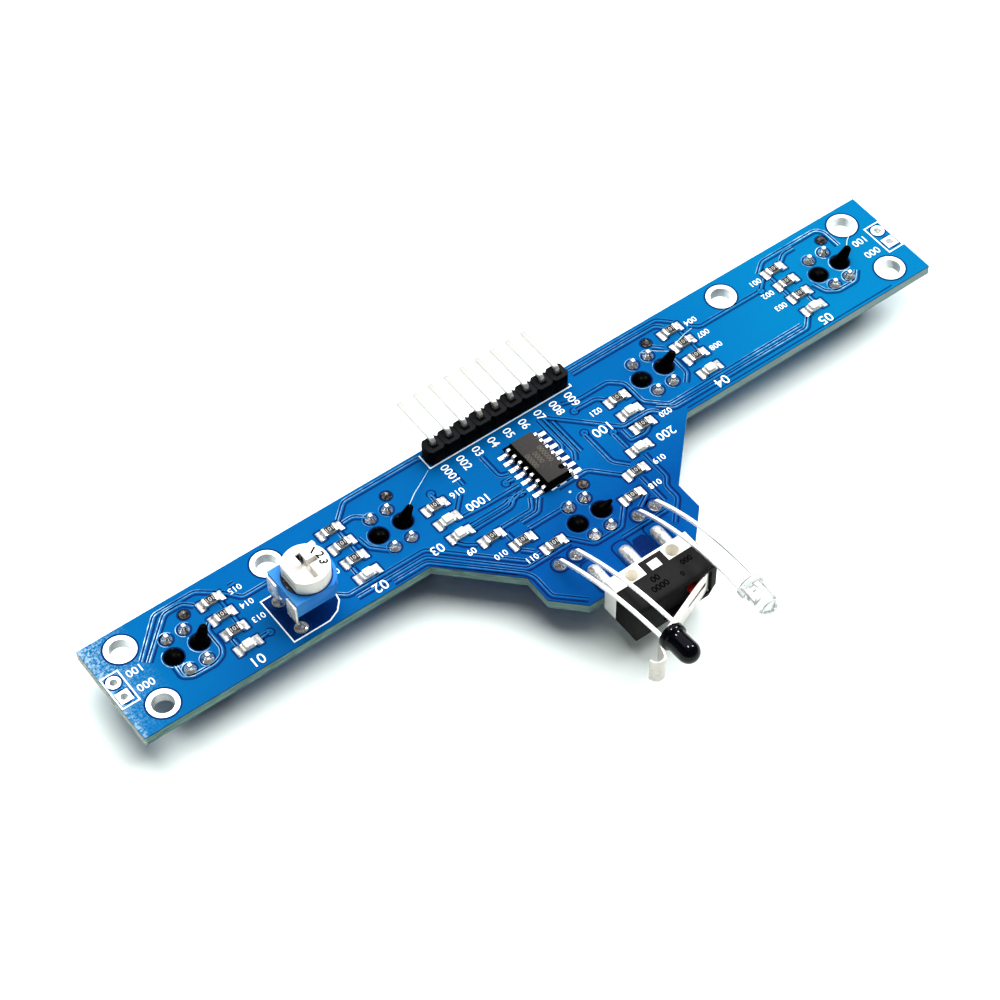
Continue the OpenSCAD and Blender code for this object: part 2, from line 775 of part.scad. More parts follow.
// Band of half-width h along a circle of radius r, from angle a0 to a1
module arc_band(r, h, a0, a1) {
    difference() {
        circle(r = r + h, $fn = 96);
        circle(r = r - h, $fn = 96);
        rotate(a0) translate([-3 * r, -6 * r]) square([6 * r, 6 * r]);
        rotate(a1 - 180) translate([-3 * r, -6 * r]) square([6 * r, 6 * r]);
    }
}

module ir_transmitter_leads() {
    color(silver) for (p = transmitter_pads) arched_lead(p, transmitter_back, led_z, transmitter_tilt);
}

module ir_receiver_leads() {
    color(silver) for (p = receiver_pads) arched_lead(p, receiver_back, receiver_z, receiver_tilt);
}

/* ---------- the assembly ---------- */

circuit_board();
hole_plating();
end_pads();
solder_joints();
for (i = [1:5]) {
    sensor_housing(i);
    sensor_emitter(sensor_at[i - 1]);
    sensor_detector(sensor_at[i - 1]);
    sensor_leads(sensor_at[i - 1]);
}
header_body();
header_pins();
ic_body();
ic_leads();
resistor_bodies();
resistor_caps();
for (i = [1:8]) status_led(chip_led_at[i - 1]);
trimmer_body();
trimmer_legs();
trimmer_track();
trimmer_wiper();
trimmer_dial();
switch_base();
switch_cover();
switch_terminal(terminals_x[0]);  // switch_common_terminal
switch_terminal(terminals_x[1]);  // switch_open_terminal
switch_terminal(terminals_x[2]);  // switch_closed_terminal
switch_blade();
switch_plunger();
switch_lever();
ir_transmitter();
ir_transmitter_leads();
ir_receiver();
ir_receiver_leads();
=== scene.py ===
"""Looks of a five-sensor line follower board, laid out as a Blender add-on.

Every piece is in metres in the part's own frame: X along the arm, +Y towards the pin header and
Z up out of the component face. Sizes in the code are in millimetres, turned to metres at the end.
"""

from contextlib import contextmanager
from math import copysign, cos, pi, radians, sin

import bmesh
import bpy
from mathutils import Matrix, Vector


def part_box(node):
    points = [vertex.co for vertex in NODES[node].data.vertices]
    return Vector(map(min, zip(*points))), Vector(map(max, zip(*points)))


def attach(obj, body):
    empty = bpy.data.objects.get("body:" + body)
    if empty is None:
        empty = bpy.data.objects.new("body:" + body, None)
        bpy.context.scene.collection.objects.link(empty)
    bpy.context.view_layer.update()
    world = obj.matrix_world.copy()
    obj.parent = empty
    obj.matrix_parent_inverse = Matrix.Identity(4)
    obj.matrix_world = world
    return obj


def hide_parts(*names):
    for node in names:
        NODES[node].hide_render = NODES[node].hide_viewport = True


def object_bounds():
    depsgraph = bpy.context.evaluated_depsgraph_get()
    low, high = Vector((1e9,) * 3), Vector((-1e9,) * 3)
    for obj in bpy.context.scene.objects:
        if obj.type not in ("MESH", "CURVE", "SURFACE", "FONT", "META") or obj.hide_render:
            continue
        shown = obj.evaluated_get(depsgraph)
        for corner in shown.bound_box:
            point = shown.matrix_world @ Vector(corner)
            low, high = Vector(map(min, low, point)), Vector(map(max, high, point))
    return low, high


bl_info = {
    "name": "Line follower board",
    "version": (1, 0, 0),
    "blender": (4, 5, 0),
    "location": "View3D > Sidebar > Follower",
    "description": "Builds the finish of a line follower sensor board",
    "category": "Object",
}

MM = 0.001

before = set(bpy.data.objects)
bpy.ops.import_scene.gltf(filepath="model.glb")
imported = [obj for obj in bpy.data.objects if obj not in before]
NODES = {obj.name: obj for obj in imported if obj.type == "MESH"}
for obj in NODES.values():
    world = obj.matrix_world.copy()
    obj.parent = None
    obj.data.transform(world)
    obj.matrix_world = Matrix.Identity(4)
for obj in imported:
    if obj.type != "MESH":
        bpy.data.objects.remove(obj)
cad_low, cad_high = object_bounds()


# ---------- where the board's parts are, in millimetres ----------

def node_box(node):
    """Lowest and highest corner of a CAD node."""
    low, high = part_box(node)
    return Vector(low) / MM, Vector(high) / MM


def node_centre(node):
    low, high = node_box(node)
    return (low + high) / 2


BOTH = (-1, 1)
BOARD_T = 1.6
SENSORS = range(1, 6)
SENSOR_AT = [(node_centre(f"sensor_{i}_emitter").x, node_centre(f"sensor_{i}_housing").y)
             for i in SENSORS]
SENSOR_AT[2] = (0.0, -13.95)
SENSOR_PIN = (1.3, 2.75)
SENSOR_LEADS = [(x + i * SENSOR_PIN[0], y + j * SENSOR_PIN[1])
                for x, y in SENSOR_AT for i in BOTH for j in BOTH]
PEG_X = 1.92
PITCH = 2.54
PIN_COUNT = 9
HEADER_AT = (-0.1, 6.3)
HEADER_X = [HEADER_AT[0] + (k - (PIN_COUNT - 1) / 2) * PITCH for k in range(PIN_COUNT)]
HEADER_PADS = [(x, HEADER_AT[1]) for x in HEADER_X]
TRIMMER_AT = (-36.45, -3.3)
DIAL_R = 3.15
TRIMMER_PADS = [(-39.45, -0.85), (-39.45, -5.85), (-34.4, -3.35)]
PAIR_PADS = [(5.1, -17.65), (7.8, -17.65), (-7.75, -17.75), (-5.15, -17.75)]
HOLES = [(x, y) for x in (-59.4, 59.4) for y in (-5, 5)] + [(-37.5, 5), (37.5, 5)]
END_PAD_X = 62.7
END_PADS = [(side * END_PAD_X, y) for side in BOTH for y in (-PITCH / 2, PITCH / 2)]
RESISTOR_AT = ([(x, 4.35 - 2.8 * k) for x in (-46.4, -28.1, 28, 46.3) for k in range(3)]
               + [(-12.1 + 2.85 * k, -9.1 - 2.83 * k) for k in range(3)]
               + [(-15, -0.65), (14.9, -0.65), (14.9, -6.25), (9.25, -11.85), (6.4, -14.75)])
STATUS_AT = [(-46.3, -4.2), (-28.1, -4.2), (28, -4.2), (46.3, -4.2),
             (-15, -3.45), (-15, -6.25), (14.9, -3.45), (12.1, -9.05)]
SPARE_VIAS = [(x + 2.5, y + 4.65) for x, y in SENSOR_AT]
CHIP_AT = (0.0, -3.2)
CHIP_PITCH = 1.27
TERMINAL_X = [0.17 + k * 5.08 for k in (-1, 0, 1)]
NOSE_Y = -25.0
SWITCH_HOLE = (3.25, -26.35)
LEVER_PIN = (5.45, -30.95, 0.4)
LEVER_REST = 21.5


# ---------- settings ----------

COLOUR = {"subtype": "COLOR", "size": 3, "min": 0, "max": 1}
LENGTH = {"unit": "LENGTH", "precision": 5}


class FollowerFinish(bpy.types.PropertyGroup):
    """Colours of the board and its parts"""
    mask: bpy.props.FloatVectorProperty(
        name="Solder mask", description="Colour of the lacquer over copper",
        default=(0.0, 0.101, 0.284), **COLOUR)
    gap: bpy.props.FloatVectorProperty(
        name="Bare laminate", description="Colour of the lacquer where there is no copper",
        default=(0.0, 0.024, 0.115), **COLOUR)
    edge: bpy.props.FloatVectorProperty(
        name="Copper edge", description="Colour of the thin lacquer over a track's edge",
        default=(0.0, 0.19, 0.42), **COLOUR)
    core: bpy.props.FloatVectorProperty(
        name="Laminate edge", description="Colour of the cut glass laminate",
        default=(0.19, 0.30, 0.27), **COLOUR)
    ink: bpy.props.FloatVectorProperty(
        name="Marking ink", description="Colour of the printed marks",
        default=(0.90, 0.92, 0.92), **COLOUR)
    trimmer: bpy.props.FloatVectorProperty(
        name="Trimmer body", description="Colour of the trimmer's body",
        default=(0.006, 0.165, 0.50), **COLOUR)


class FollowerSizes(bpy.types.PropertyGroup):
    """Sizes of the fine relief, in metres"""
    track: bpy.props.FloatProperty(
        name="Track width", description="Width of a signal track",
        default=0.28 * MM, min=0.1 * MM, max=1.0 * MM, **LENGTH)
    clearance: bpy.props.FloatProperty(
        name="Clearance", description="Bare strip on each side of a track",
        default=0.29 * MM, min=0.05 * MM, max=0.5 * MM, **LENGTH)
    copper: bpy.props.FloatProperty(
        name="Copper thickness", description="How far a track stands up",
        default=0.03 * MM, min=0.01 * MM, max=0.08 * MM, **LENGTH)
    cone: bpy.props.FloatProperty(
        name="Solder cone height", description="Height of the solder round a sensor's lead",
        default=1.15 * MM, min=0.5 * MM, max=1.5 * MM, **LENGTH)


class FollowerStage(bpy.types.PropertyGroup):
    """Light on the board"""
    key: bpy.props.FloatProperty(
        name="Key light", description="Strength of the wide soft sun", default=6.15, min=0)
    shine: bpy.props.FloatProperty(
        name="Shine", description="Brightness of what glossy parts mirror", default=1.0, min=0)
    fill: bpy.props.FloatProperty(
        name="Fill", description="Strength of the room's light", default=0.29, min=0)


# ---------- shader building ----------

def maths(operation, swapped=False):
    """A method that adds one Math node."""
    def method(self, *others):
        values = (*others, self) if swapped else (self, *others)
        return self.maker.add("ShaderNodeMath", {"operation": operation}, values)
    return method


class Wire:
    """A node socket that takes part in Python expressions."""
    __add__ = __radd__ = maths("ADD")
    __sub__, __rsub__ = maths("SUBTRACT"), maths("SUBTRACT", swapped=True)
    __mul__ = __rmul__ = maths("MULTIPLY")
    __truediv__ = maths("DIVIDE")
    __gt__, __lt__ = maths("GREATER_THAN"), maths("LESS_THAN")
    __abs__, wave, fract = maths("ABSOLUTE"), maths("SINE"), maths("FRACT")

    def __init__(self, maker, socket):
        self.maker = maker
        self.socket = socket

    def clamped(self):
        return self.maker.add("ShaderNodeClamp", {}, (self, 0.0, 1.0))


class Maker:
    """Builds the nodes of one tree."""

    def __init__(self, tree):
        self.tree = tree

    def put(self, socket, value):
        if isinstance(value, Wire):
            self.tree.links.new(value.socket, socket)
        elif value is not None:
            rgb = getattr(socket, "type", "") == "RGBA" and len(value) == 3
            socket.default_value = (*value, 1.0) if rgb else value

    def add(self, kind, settings, values, output=0):
        node = self.tree.nodes.new(kind)
        stops = settings.pop("stops", ())
        for key, value in settings.items():
            setattr(node, key, value)
        for k, (position, level) in enumerate(stops):
            elements = node.color_ramp.elements
            stop = elements[k] if k < len(elements) else elements.new(position)
            stop.position, stop.color = position, (level, level, level, 1.0)
        for key, value in values.items() if isinstance(values, dict) else enumerate(values):
            self.put(node.inputs[key], value)
        return Wire(self, node.outputs[output])


class Finish(Maker):
    """Builds one material."""

    def __init__(self, name):
        self.material = bpy.data.materials.new(name)
        self.material.use_nodes = True
        super().__init__(self.material.node_tree)
        self.tree.nodes.clear()
        self.coords = self.add("ShaderNodeTexCoord", {}, (), "Object")
        self.shader = self.tree.nodes.new("ShaderNodeBsdfPrincipled")
        out = self.tree.nodes.new("ShaderNodeOutputMaterial")
        self.tree.links.new(self.shader.outputs[0], out.inputs["Surface"])

    def noise(self, scale, detail=2.0, roughness=0.5, stretch=None):
        at = stretch and self.add("ShaderNodeMapping", {},
                                  {"Vector": self.coords, "Scale": stretch})
        return self.add("ShaderNodeTexNoise", {}, {"Vector": at or self.coords, "Scale": scale,
                                                   "Detail": detail, "Roughness": roughness})

    def axis(self, name, unit=MM):
        """One coordinate on the piece, in millimetres."""
        return self.add("ShaderNodeSeparateXYZ", {}, (self.coords,), name) / unit

    def mix(self, factor, a, b):
        return self.add("ShaderNodeMix", {"data_type": "RGBA"}, {"Factor": factor, 6: a, 7: b}, 2)

    def ramp(self, value, low, high):
        return self.add("ShaderNodeMapRange", {"clamp": True},
                        {"Value": value, "From Min": low, "From Max": high})

    def speckle(self, noise, low, high, share, under, over):
        """The tone under, with a share of the tone over where the noise is high."""
        return self.mix(self.ramp(noise, low, high) * share, under, over)

    def bump(self, height, strength, distance):
        return self.add("ShaderNodeBump", {}, {"Strength": strength, "Distance": distance * MM,
                                               "Height": height})

    def finish(self, **sockets):
        for name, value in sockets.items():
            self.put(self.shader.inputs[name.replace("_", " ")], value)
        return self.material

    def moulded(self, tone, pits, roughness, relief, **sockets):
        """Closes the look of a moulding with fine pits."""
        return self.finish(Base_Color=tone, Normal=self.bump(pits, relief, 0.03),
                           Roughness=self.ramp(pits, 0.2, 0.8) * 0.16 + roughness, **sockets)

    def worn(self, tone, patches, metallic, change, roughness, relief):
        """Closes the look of metal with dull patches."""
        return self.finish(Base_Color=tone, Metallic=metallic,
                           Normal=self.bump(patches, relief, 0.04),
                           Roughness=self.ramp(patches, 0.3, 0.8) * change + roughness)


materials = {}


def material(name):
    """The finish of that name, made the first time it is asked for."""
    if name not in materials:
        materials[name] = FINISHES[name](bpy.context.scene.follower_finish)
    return materials[name]


def tint(colour, factor, lift=(0.0, 0.0, 0.0)):
    """A colour made brighter or darker, then lifted."""
    return tuple(part * factor + more for part, more in zip(colour, lift))


def lacquer_tone(m, tone):
    """The lacquer's blue, greener towards the ends of the arm and deeper on the nose."""
    def shift(green, blue):
        return (0.0, tone[1] * green, tone[2] * blue)

    along = m.axis("X") + m.noise(45.0) * 16 - 8
    ends = m.ramp(along, 20.0, 46.0) + m.ramp(along, -46.0, -64.0) * 0.45
    deep = m.mix(m.ramp(m.axis("Y"), -5.0, -15.0), tuple(tone), shift(0.62, 0.80))
    return m.speckle(m.noise(110.0, 3.0, 0.6), 0.35, 0.75, 0.2,
                     m.mix(ends, deep, shift(1.60, 1.20)), shift(1.35, 1.3))


def shade_painted_glint(look):
    """Painted highlight: a track's bright edge in broken dashes, strongest at sensors and ends."""
    m = Finish("track_glint")
    # Painted highlight: where and how brightly the edge lights up
    where = m.ramp(m.noise(75.0), 0.42, 0.62)
    dashes = m.ramp(m.noise(900.0, 2.0, 0.6), 0.42, 0.58)
    ends = m.ramp(abs(m.axis("X")), 50.0, 53.0)
    arm = m.ramp(abs(m.axis("X")), 10.0, 24.0) * 0.25 + 0.22
    lit = (where * arm + ends * 0.85).clamped() * (dashes * 0.7 + 0.3)
    tone = m.mix(0.4, lacquer_tone(m, look.mask), look.edge)
    return m.finish(Base_Color=m.mix(lit.clamped(), tone, (0.50, 0.72, 0.84)),
                    Roughness=m.ramp(dashes, 0.0, 1.0) * 0.1 + 0.2, Specular_IOR_Level=0.1,
                    Normal=m.bump(dashes, 0.2, 0.02))


def shade_mask(look):
    """Lacquer over copper on both faces, and cut glass laminate round the edge."""
    m = Finish("board_mask")
    x, y, height = m.axis("X"), m.axis("Y"), m.axis("Z")
    fine = m.noise(2600.0, 3.0, 0.7)
    strand = 0.55 * MM / (2 * pi)
    weave = m.axis("X", strand).wave() * m.axis("Y", strand).wave()
    frost = m.ramp(m.noise(2600.0, 3.0, 0.8), 0.46, 0.60) * m.ramp(x, -57.0, -63.0)
    frost = (frost * m.ramp(y, -9.0, 6.0)
             + m.ramp(m.noise(1200.0, 3.0, 0.7), 0.45, 0.6) * m.ramp(x, -62.9, -63.8))
    lacquered = m.speckle(fine, 0.66, 0.8, 0.2, lacquer_tone(m, look.mask), look.edge)
    lacquered = m.mix(frost.clamped() * 0.7, lacquered, (0.42, 0.55, 0.60))
    inside = (height < -0.03) * (height > -BOARD_T + 0.03)
    layers = m.noise(420.0, 4.0, 0.7, (1.0, 1.0, 9.0))
    fibre = m.mix(m.ramp(layers, 0.35, 0.7), tint(look.core, 0.55), tint(look.core, 1.35))
    fibre = m.speckle(x, -30.0, 50.0, 0.55, fibre, (0.36, 0.42, 0.44))
    fibre = m.speckle(x, -63.6, -63.98, 0.8, fibre,
                      m.mix(m.ramp(fine, 0.5, 0.6), (0.66, 0.64, 0.56), (0.30, 0.40, 0.42)))
    fibre = m.mix(m.ramp(height, -0.3, -0.05), fibre, look.gap)
    return m.finish(Base_Color=m.mix(inside, lacquered, fibre), Specular_IOR_Level=0.018,
                    Roughness=m.ramp(fine, 0.0, 1.0) * 0.16 + inside * 0.4 + 0.2,
                    Normal=m.bump(fine * 0.5 + weave * 0.25 + m.noise(700.0), 0.2, 0.02))


def lacquer(name, colour_of, roughness):
    """A flat tone of lacquer with fine grain."""
    def make(look):
        m = Finish(name)
        grain = m.noise(1500.0, 3.0, 0.6)
        tone = m.speckle(grain, 0.55, 0.8, 0.12, lacquer_tone(m, colour_of(look)), look.edge)
        return m.finish(Base_Color=tone, Roughness=m.ramp(grain, 0.0, 1.0) * 0.15 + roughness,
                        Specular_IOR_Level=0.03, Normal=m.bump(grain, 0.2, 0.02))
    return make


def shade_ink(look):
    """Printing ink, worn thin in places."""
    m = Finish("marking_ink")
    wear = m.noise(2400.0, 4.0, 0.7)
    tone = m.mix(m.ramp(wear, 0.25, 0.5), tint(look.ink, 0.72), tuple(look.ink))
    return m.finish(Base_Color=tone,
                    Roughness=m.ramp(wear, 0.2, 0.8) * 0.2 + 0.5, Normal=m.bump(wear, 0.4, 0.03))


def metal(name, colour, dull, roughness=0.18, blotch=900.0, relief=0.25, metallic=1.0):
    """Metal with soft blotches of a duller tone and shallow scratches."""
    def make(look):
        m = Finish(name)
        patches = m.noise(blotch, 4.0, 0.65)
        scratches = m.noise(300.0, 3.0, 0.7, (1.0, 12.0, 3.0))
        rough = m.ramp(patches, 0.3, 0.8) * 0.2 + m.ramp(scratches, 0.4, 0.8) * 0.08 + roughness
        return m.finish(Base_Color=m.mix(m.ramp(patches, 0.42, 0.68), colour, dull),
                        Metallic=metallic, Roughness=rough,
                        Normal=m.bump(patches * 0.7 + scratches * 0.3, relief, 0.04))
    return make


def pitted(m, pits, tone, colour):
    """A moulding's tone with paler pits."""
    return m.speckle(pits, 0.58, 0.75, 0.3, tone, tint(colour, 1.5, (.01, .01, .01)))


def plastic(name, colour, roughness=0.4, grain=1800.0, relief=0.2, mottle=0.12, specular=0.5):
    """Moulded plastic with a fine eroded grain and a slight change of tone."""
    def make(look):
        m = Finish(name)
        pits = m.noise(grain, 3.0, 0.6)
        tone = m.mix(m.ramp(m.noise(160.0), 0.3, 0.7), tint(colour, 1 - mottle),
                     tint(colour, 1 + mottle))
        return m.moulded(pitted(m, pits, tone, colour), pits, roughness, relief,
                         Specular_IOR_Level=specular)
    return make


def moulding_with_painted_lit_top(name, side, top, node):
    """Black moulding with painted light: greyer on its node's top face, darker sides as shade."""
    def make(look):
        m = Finish(name)
        top_z = node_box(node)[1].z
        pits = m.noise(2200.0, 3.0, 0.6)
        # Painted light: the top face lighter than the sides
        painted_lit_top = m.ramp(m.axis("Z"), top_z - 0.14, top_z - 0.02)
        tone = m.speckle(pits, 0.56, 0.75, painted_lit_top * 0.35, m.mix(painted_lit_top, side, top), tint(top, 2))
        return m.moulded(tone, pits, 0.5, 0.4, Specular_IOR_Level=0.05)
    return make


def shade_trimmer(look):
    """Blue moulding with painted light: paler on its flat side by the legs, as if lit."""
    m = Finish("trimmer_plastic")
    pits = m.noise(1400.0, 3.0, 0.6)
    x = m.axis("X") - TRIMMER_AT[0]
    # Painted light: paler towards the flat -X side, palest on that face
    tone = m.mix(m.ramp(x, -1.6, -3.4), tuple(look.trimmer),
                 tint(look.trimmer, 1.06, (.02, .045, 0)))
    tone = m.mix(m.ramp(x, -3.60, -3.69), tone, tint(look.trimmer, 1.4, (.035, .05, 0)))
    return m.moulded(pitted(m, pits, tone, look.trimmer), pits, 0.36, 0.2, Specular_IOR_Level=0.2)


def shade_trimmer_leg(look):
    """Tinned leg, painted paler towards +Y as light, darker where it narrows above the board."""
    m = Finish("trimmer_leg_metal")
    patches = m.noise(900.0, 4.0, 0.65)
    low = m.ramp(m.axis("Z"), 3.0, 1.4)
    tone = m.mix(m.ramp(patches, 0.42, 0.68), (0.80, 0.77, 0.68), (0.58, 0.56, 0.50))
    # Painted light: the legs towards +Y paler, out of the body's shade
    tone = m.speckle(m.axis("Y"), -4.0, -2.5, 0.8, tone, (0.95, 0.96, 0.98))
    tone = m.mix(low * 0.85, tone, m.mix(m.ramp(patches, 0.45, 0.55), (0.17, 0.17, 0.18),
                                         (0.8, 0.8, 0.8)))
    return m.worn(tone, patches, low * 0.4 + 0.2, 0.2, 0.2, 0.25)


def shade_pin(look):
    """Square header pins: bright on top, painted shade down one side, darker at the cut tips."""
    m = Finish("pin_metal")
    patches = m.noise(700.0, 3.0, 0.6)
    across = ((m.axis("X") - HEADER_X[0]) / PITCH + 10.5).fract()
    # Painted shade: a darker line down one side of each pin
    side = m.ramp(across, 0.395, 0.378) + m.ramp(across, 0.612, 0.622) * 0.7
    end = cad_high.y / MM
    tone = m.mix(m.ramp(patches, 0.4, 0.7), (0.53, 0.53, 0.50), (0.47, 0.47, 0.44))
    tone = m.mix(side.clamped() * 0.9, tone, (0.60, 0.60, 0.58))
    tone = m.speckle(m.axis("Y"), end - 0.35, end - 0.1, 0.85, tone, (0.32, 0.32, 0.31))
    return m.worn(tone, patches, 0.7, 0.15, 0.3, 0.1)


def shade_lever(look):
    """Spring steel with painted shade: darker towards the rolled end."""
    m = Finish("lever_steel")
    patches = m.noise(400.0, 3.0, 0.6)
    # Painted shade: darker towards the rolled end
    tone = m.mix(m.ramp(m.axis("X"), -4.5, -7.0), (0.74, 0.70, 0.67), (0.56, 0.52, 0.49))
    tone = m.speckle(patches, 0.42, 0.68, 0.3, tone, (0.50, 0.46, 0.44))
    return m.worn(tone, patches, 0.8, 0.2, 0.26, 0.12)


def shade_dial(look):
    """White moulding, painted shade grey in its screwdriver slots and dark beside its flat."""
    m = Finish("dial_moulding")
    top, body_top = node_box("trimmer_dial")[1].z, node_box("trimmer_body")[1].z
    pits = m.noise(1500.0, 3.0, 0.6)
    x, y, z = m.axis("X") - TRIMMER_AT[0], m.axis("Y") - TRIMMER_AT[1], m.axis("Z")
    inner = m.ramp(x * x + y * y, 6.0, 5.2)
    # Painted shade down in the slots
    deep = inner * m.ramp(z, top - 0.15, top - 0.7) * (m.ramp(abs(x), 0.5, 0.3) * 0.38
                                                       + m.ramp(x, 0.2, 0.6) * 0.12 + 0.05)
    # Painted shade: a dark spot at the deep end of a slot
    hole_shade = inner * m.ramp(x * x * 5.0 + (y - 1.45) * (y - 1.45) * 1.8, 1.1, 0.7) * (z < top - 0.3)
    # Painted shadow in the gap beside the flat
    ledge_shadow = (x < -2.6) * (z < body_top + 0.05)
    tone = m.mix(m.ramp(m.noise(160.0), 0.3, 0.7), (0.74, 0.72, 0.68), (0.80, 0.78, 0.74))
    tone = m.speckle(pits, 0.58, 0.75, 0.2, tone, (0.9, 0.88, 0.84))
    tone = m.mix(deep, tone, (0.20, 0.19, 0.16))
    dark = m.mix(m.ramp(pits, 0.58, 0.66), (0.003, 0.003, 0.004), (0.35, 0.36, 0.38))
    return m.moulded(m.mix((hole_shade + ledge_shadow).clamped(), tone, dark), pits, 0.4, 0.15)


def shade_switch_white(look):
    """White moulding, creamier inside the two mounting holes."""
    m = Finish("switch_moulding")
    away = abs(m.axis("X") - TERMINAL_X[1]) - SWITCH_HOLE[0]
    down = m.axis("Y") - SWITCH_HOLE[1]
    tone = m.mix(m.ramp(m.noise(160.0), 0.3, 0.7), (0.83, 0.82, 0.79), (0.89, 0.88, 0.85))
    tone = m.mix(m.ramp(away * away + down * down, 1.12, 0.98), tone, (0.95, 0.925, 0.85))
    return m.moulded(tone, m.noise(1700.0, 3.0, 0.6), 0.4, 0.15)


def shade_clear(look):
    """Clear resin, slightly milky, with the faint swirls of casting."""
    m = Finish("clear_resin")
    swirl = m.noise(500.0)
    return m.finish(
        Base_Color=m.mix(m.ramp(swirl, 0.3, 0.7), (0.66, 0.67, 0.68), (0.80, 0.81, 0.82)),
        Roughness=m.ramp(swirl, 0.3, 0.8) * 0.06 + 0.06, Transmission_Weight=0.82, IOR=1.48,
        Normal=m.bump(swirl, 0.06, 0.05))


def shade_cream(look):
    """Milky cap of a status light over its pale ceramic."""
    m = Finish("status_resin")
    cloud = m.noise(1100.0, 3.0, 0.6)
    return m.finish(
        Base_Color=m.mix(m.ramp(cloud, 0.35, 0.7), (0.88, 0.86, 0.72), (0.95, 0.94, 0.88)),
        Roughness=m.ramp(cloud, 0.2, 0.8) * 0.15 + 0.25, Subsurface_Weight=0.15,
        Subsurface_Scale=0.0004, Coat_Weight=0.4, Coat_Roughness=0.08,
        Normal=m.bump(cloud, 0.15, 0.03))


def shade_floor(look):
    """Pale matt floor with a very soft change of tone."""
    m = Finish("studio_floor")
    tone = m.mix(m.ramp(m.noise(6.0), 0.3, 0.7), (0.84, 0.91, 0.88), (0.86, 0.93, 0.90))
    return m.finish(Base_Color=tone, Roughness=0.6, Specular_IOR_Level=0.2)


FINISHES = {
    "mask": shade_mask,
    "gap": lacquer("bare_laminate", lambda look: look.gap, 0.3),
    "edge": lacquer("copper_edge", lambda look: tint(look.mask, 0.85), 0.18),
    "raised": lacquer("raised_track", lambda look: tint(look.mask, 1.2), 0.2),
    "glint": shade_painted_glint,
    "ink": shade_ink,
    "strand": plastic("drawn_strand", (0.55, 0.68, 0.76), 0.3, 900.0, 0.1),
    "plating": metal("bright_tin", (0.93, 0.93, 0.92), (0.74, 0.74, 0.73), 0.3, 700.0, 0.15, 0.8),
    "solder": metal("solder", (0.98, 0.97, 0.95), (0.60, 0.59, 0.57), 0.10, 900.0, 0.2, 0.95),
    "pad_solder": metal("pad_solder", (0.98, 0.97, 0.95), (0.20, 0.19, 0.18), 0.2, 1700.0, 0.5,
                        0.66),
    "leg": metal("chip_lead", (0.97, 0.96, 0.94), (0.50, 0.49, 0.47), 0.22, 1300.0, 0.3, 0.6),
    "dark_via": metal("filled_via", (0.005, 0.004, 0.004), (0.11, 0.10, 0.09), 0.2, 2300.0, 0.8,
                      0.8),
    "lead": metal("tinned_lead", (0.97, 0.97, 0.96), (0.84, 0.84, 0.84), 0.28, 700.0, 0.1, 0.4),
    "pin": shade_pin,
    "lever": shade_lever,
    "frame": metal("lens_frame", (0.93, 0.92, 0.91), (0.78, 0.77, 0.76), 0.3, 400.0, 0.12, 0.7),
    "brass": metal("contact_brass", (0.83, 0.66, 0.34), (0.60, 0.44, 0.20), 0.24),
    "peg": plastic("melted_black", (0.0004, 0.0003, 0.0004), 0.28, 900.0, 0.3, 0.1, 0.03),
    "header": moulding_with_painted_lit_top("header_moulding", (0.0005, 0.0005, 0.0008), (0.013, 0.013, 0.015),
                     "header_body"),
    "resin": moulding_with_painted_lit_top("chip_resin", (0.0009, 0.0008, 0.0007), (0.044, 0.042, 0.041), "ic_body"),
    "chip_ink": plastic("chip_ink", (0.085, 0.070, 0.048), 0.6, 2600.0),
    "mould_mark": plastic("mould_mark", (0.0006, 0.0006, 0.0006), 0.6, 2600.0, 0.2, 0.2, 0.02),
    "glaze": plastic("resistor_glaze", (0.003, 0.003, 0.004), 0.3, 2200.0, 0.1, 0.1, 0.3),
    "ceramic": plastic("resistor_ceramic", (0.35, 0.34, 0.31), 0.5, 2200.0),
    "code": plastic("code_ink", (0.40, 0.40, 0.38), 0.5, 2400.0, 0.1),
    "cream": shade_cream,
    "trimmer": shade_trimmer,
    "groove": plastic("trimmer_groove", (0.0, 0.030, 0.16), 0.4, 1400.0, 0.2, 0.1, 0.1),
    "trimmer_leg": shade_trimmer_leg,
    "dial": shade_dial,
    "deep": plastic("chip_shadow_line", (0.0, 0.002, 0.010), 0.5, 1500.0, 0.2, 0.1, 0.02),
    "dial_ink": plastic("dial_ink", (0.004, 0.004, 0.004), 0.5, 1800.0, 0.2, 0.1, 0.1),
    "track": plastic("resistive_track", (0.03, 0.025, 0.022), 0.6),
    "white": plastic("white_moulding", (0.86, 0.85, 0.82), 0.4, 1700.0, 0.15, 0.04),
    "switch_white": shade_switch_white,
    "cover": plastic("cover_moulding", (0.0105, 0.0098, 0.0098), 0.5, 1500.0, 0.5, 0.3, 0.12),
    "plunger": plastic("plunger_moulding", (0.55, 0.003, 0.003), 0.3, 1500.0, 0.1),
    "clear": shade_clear,
    "dark_lens": plastic("dark_resin", (0.001, 0.001, 0.004), 0.02, 300.0, 0.01, 0.0, 0.22),
    "blue_lens": plastic("blue_resin", (0.10, 0.22, 0.52), 0.1, 300.0, 0.03),
    "floor": shade_floor,
}


# ---------- mesh building, in millimetres ----------

def new_mesh(name, points, faces, finishes, picks=None, smooth=False):
    """A mesh in metres from points in millimetres; picks gives each face's finish."""
    mesh = bpy.data.meshes.new(name)
    mesh.from_pydata([Vector(p) * MM for p in points], [], faces)
    for finish in finishes:
        mesh.materials.append(material(finish))
    if picks:
        mesh.polygons.foreach_set("material_index", picks)
    mesh.update()
    if smooth:
        mesh.shade_smooth()
    return mesh


def add_object(name, data):
    thing = bpy.data.objects.new(name, data)
    bpy.context.scene.collection.objects.link(thing)
    return thing


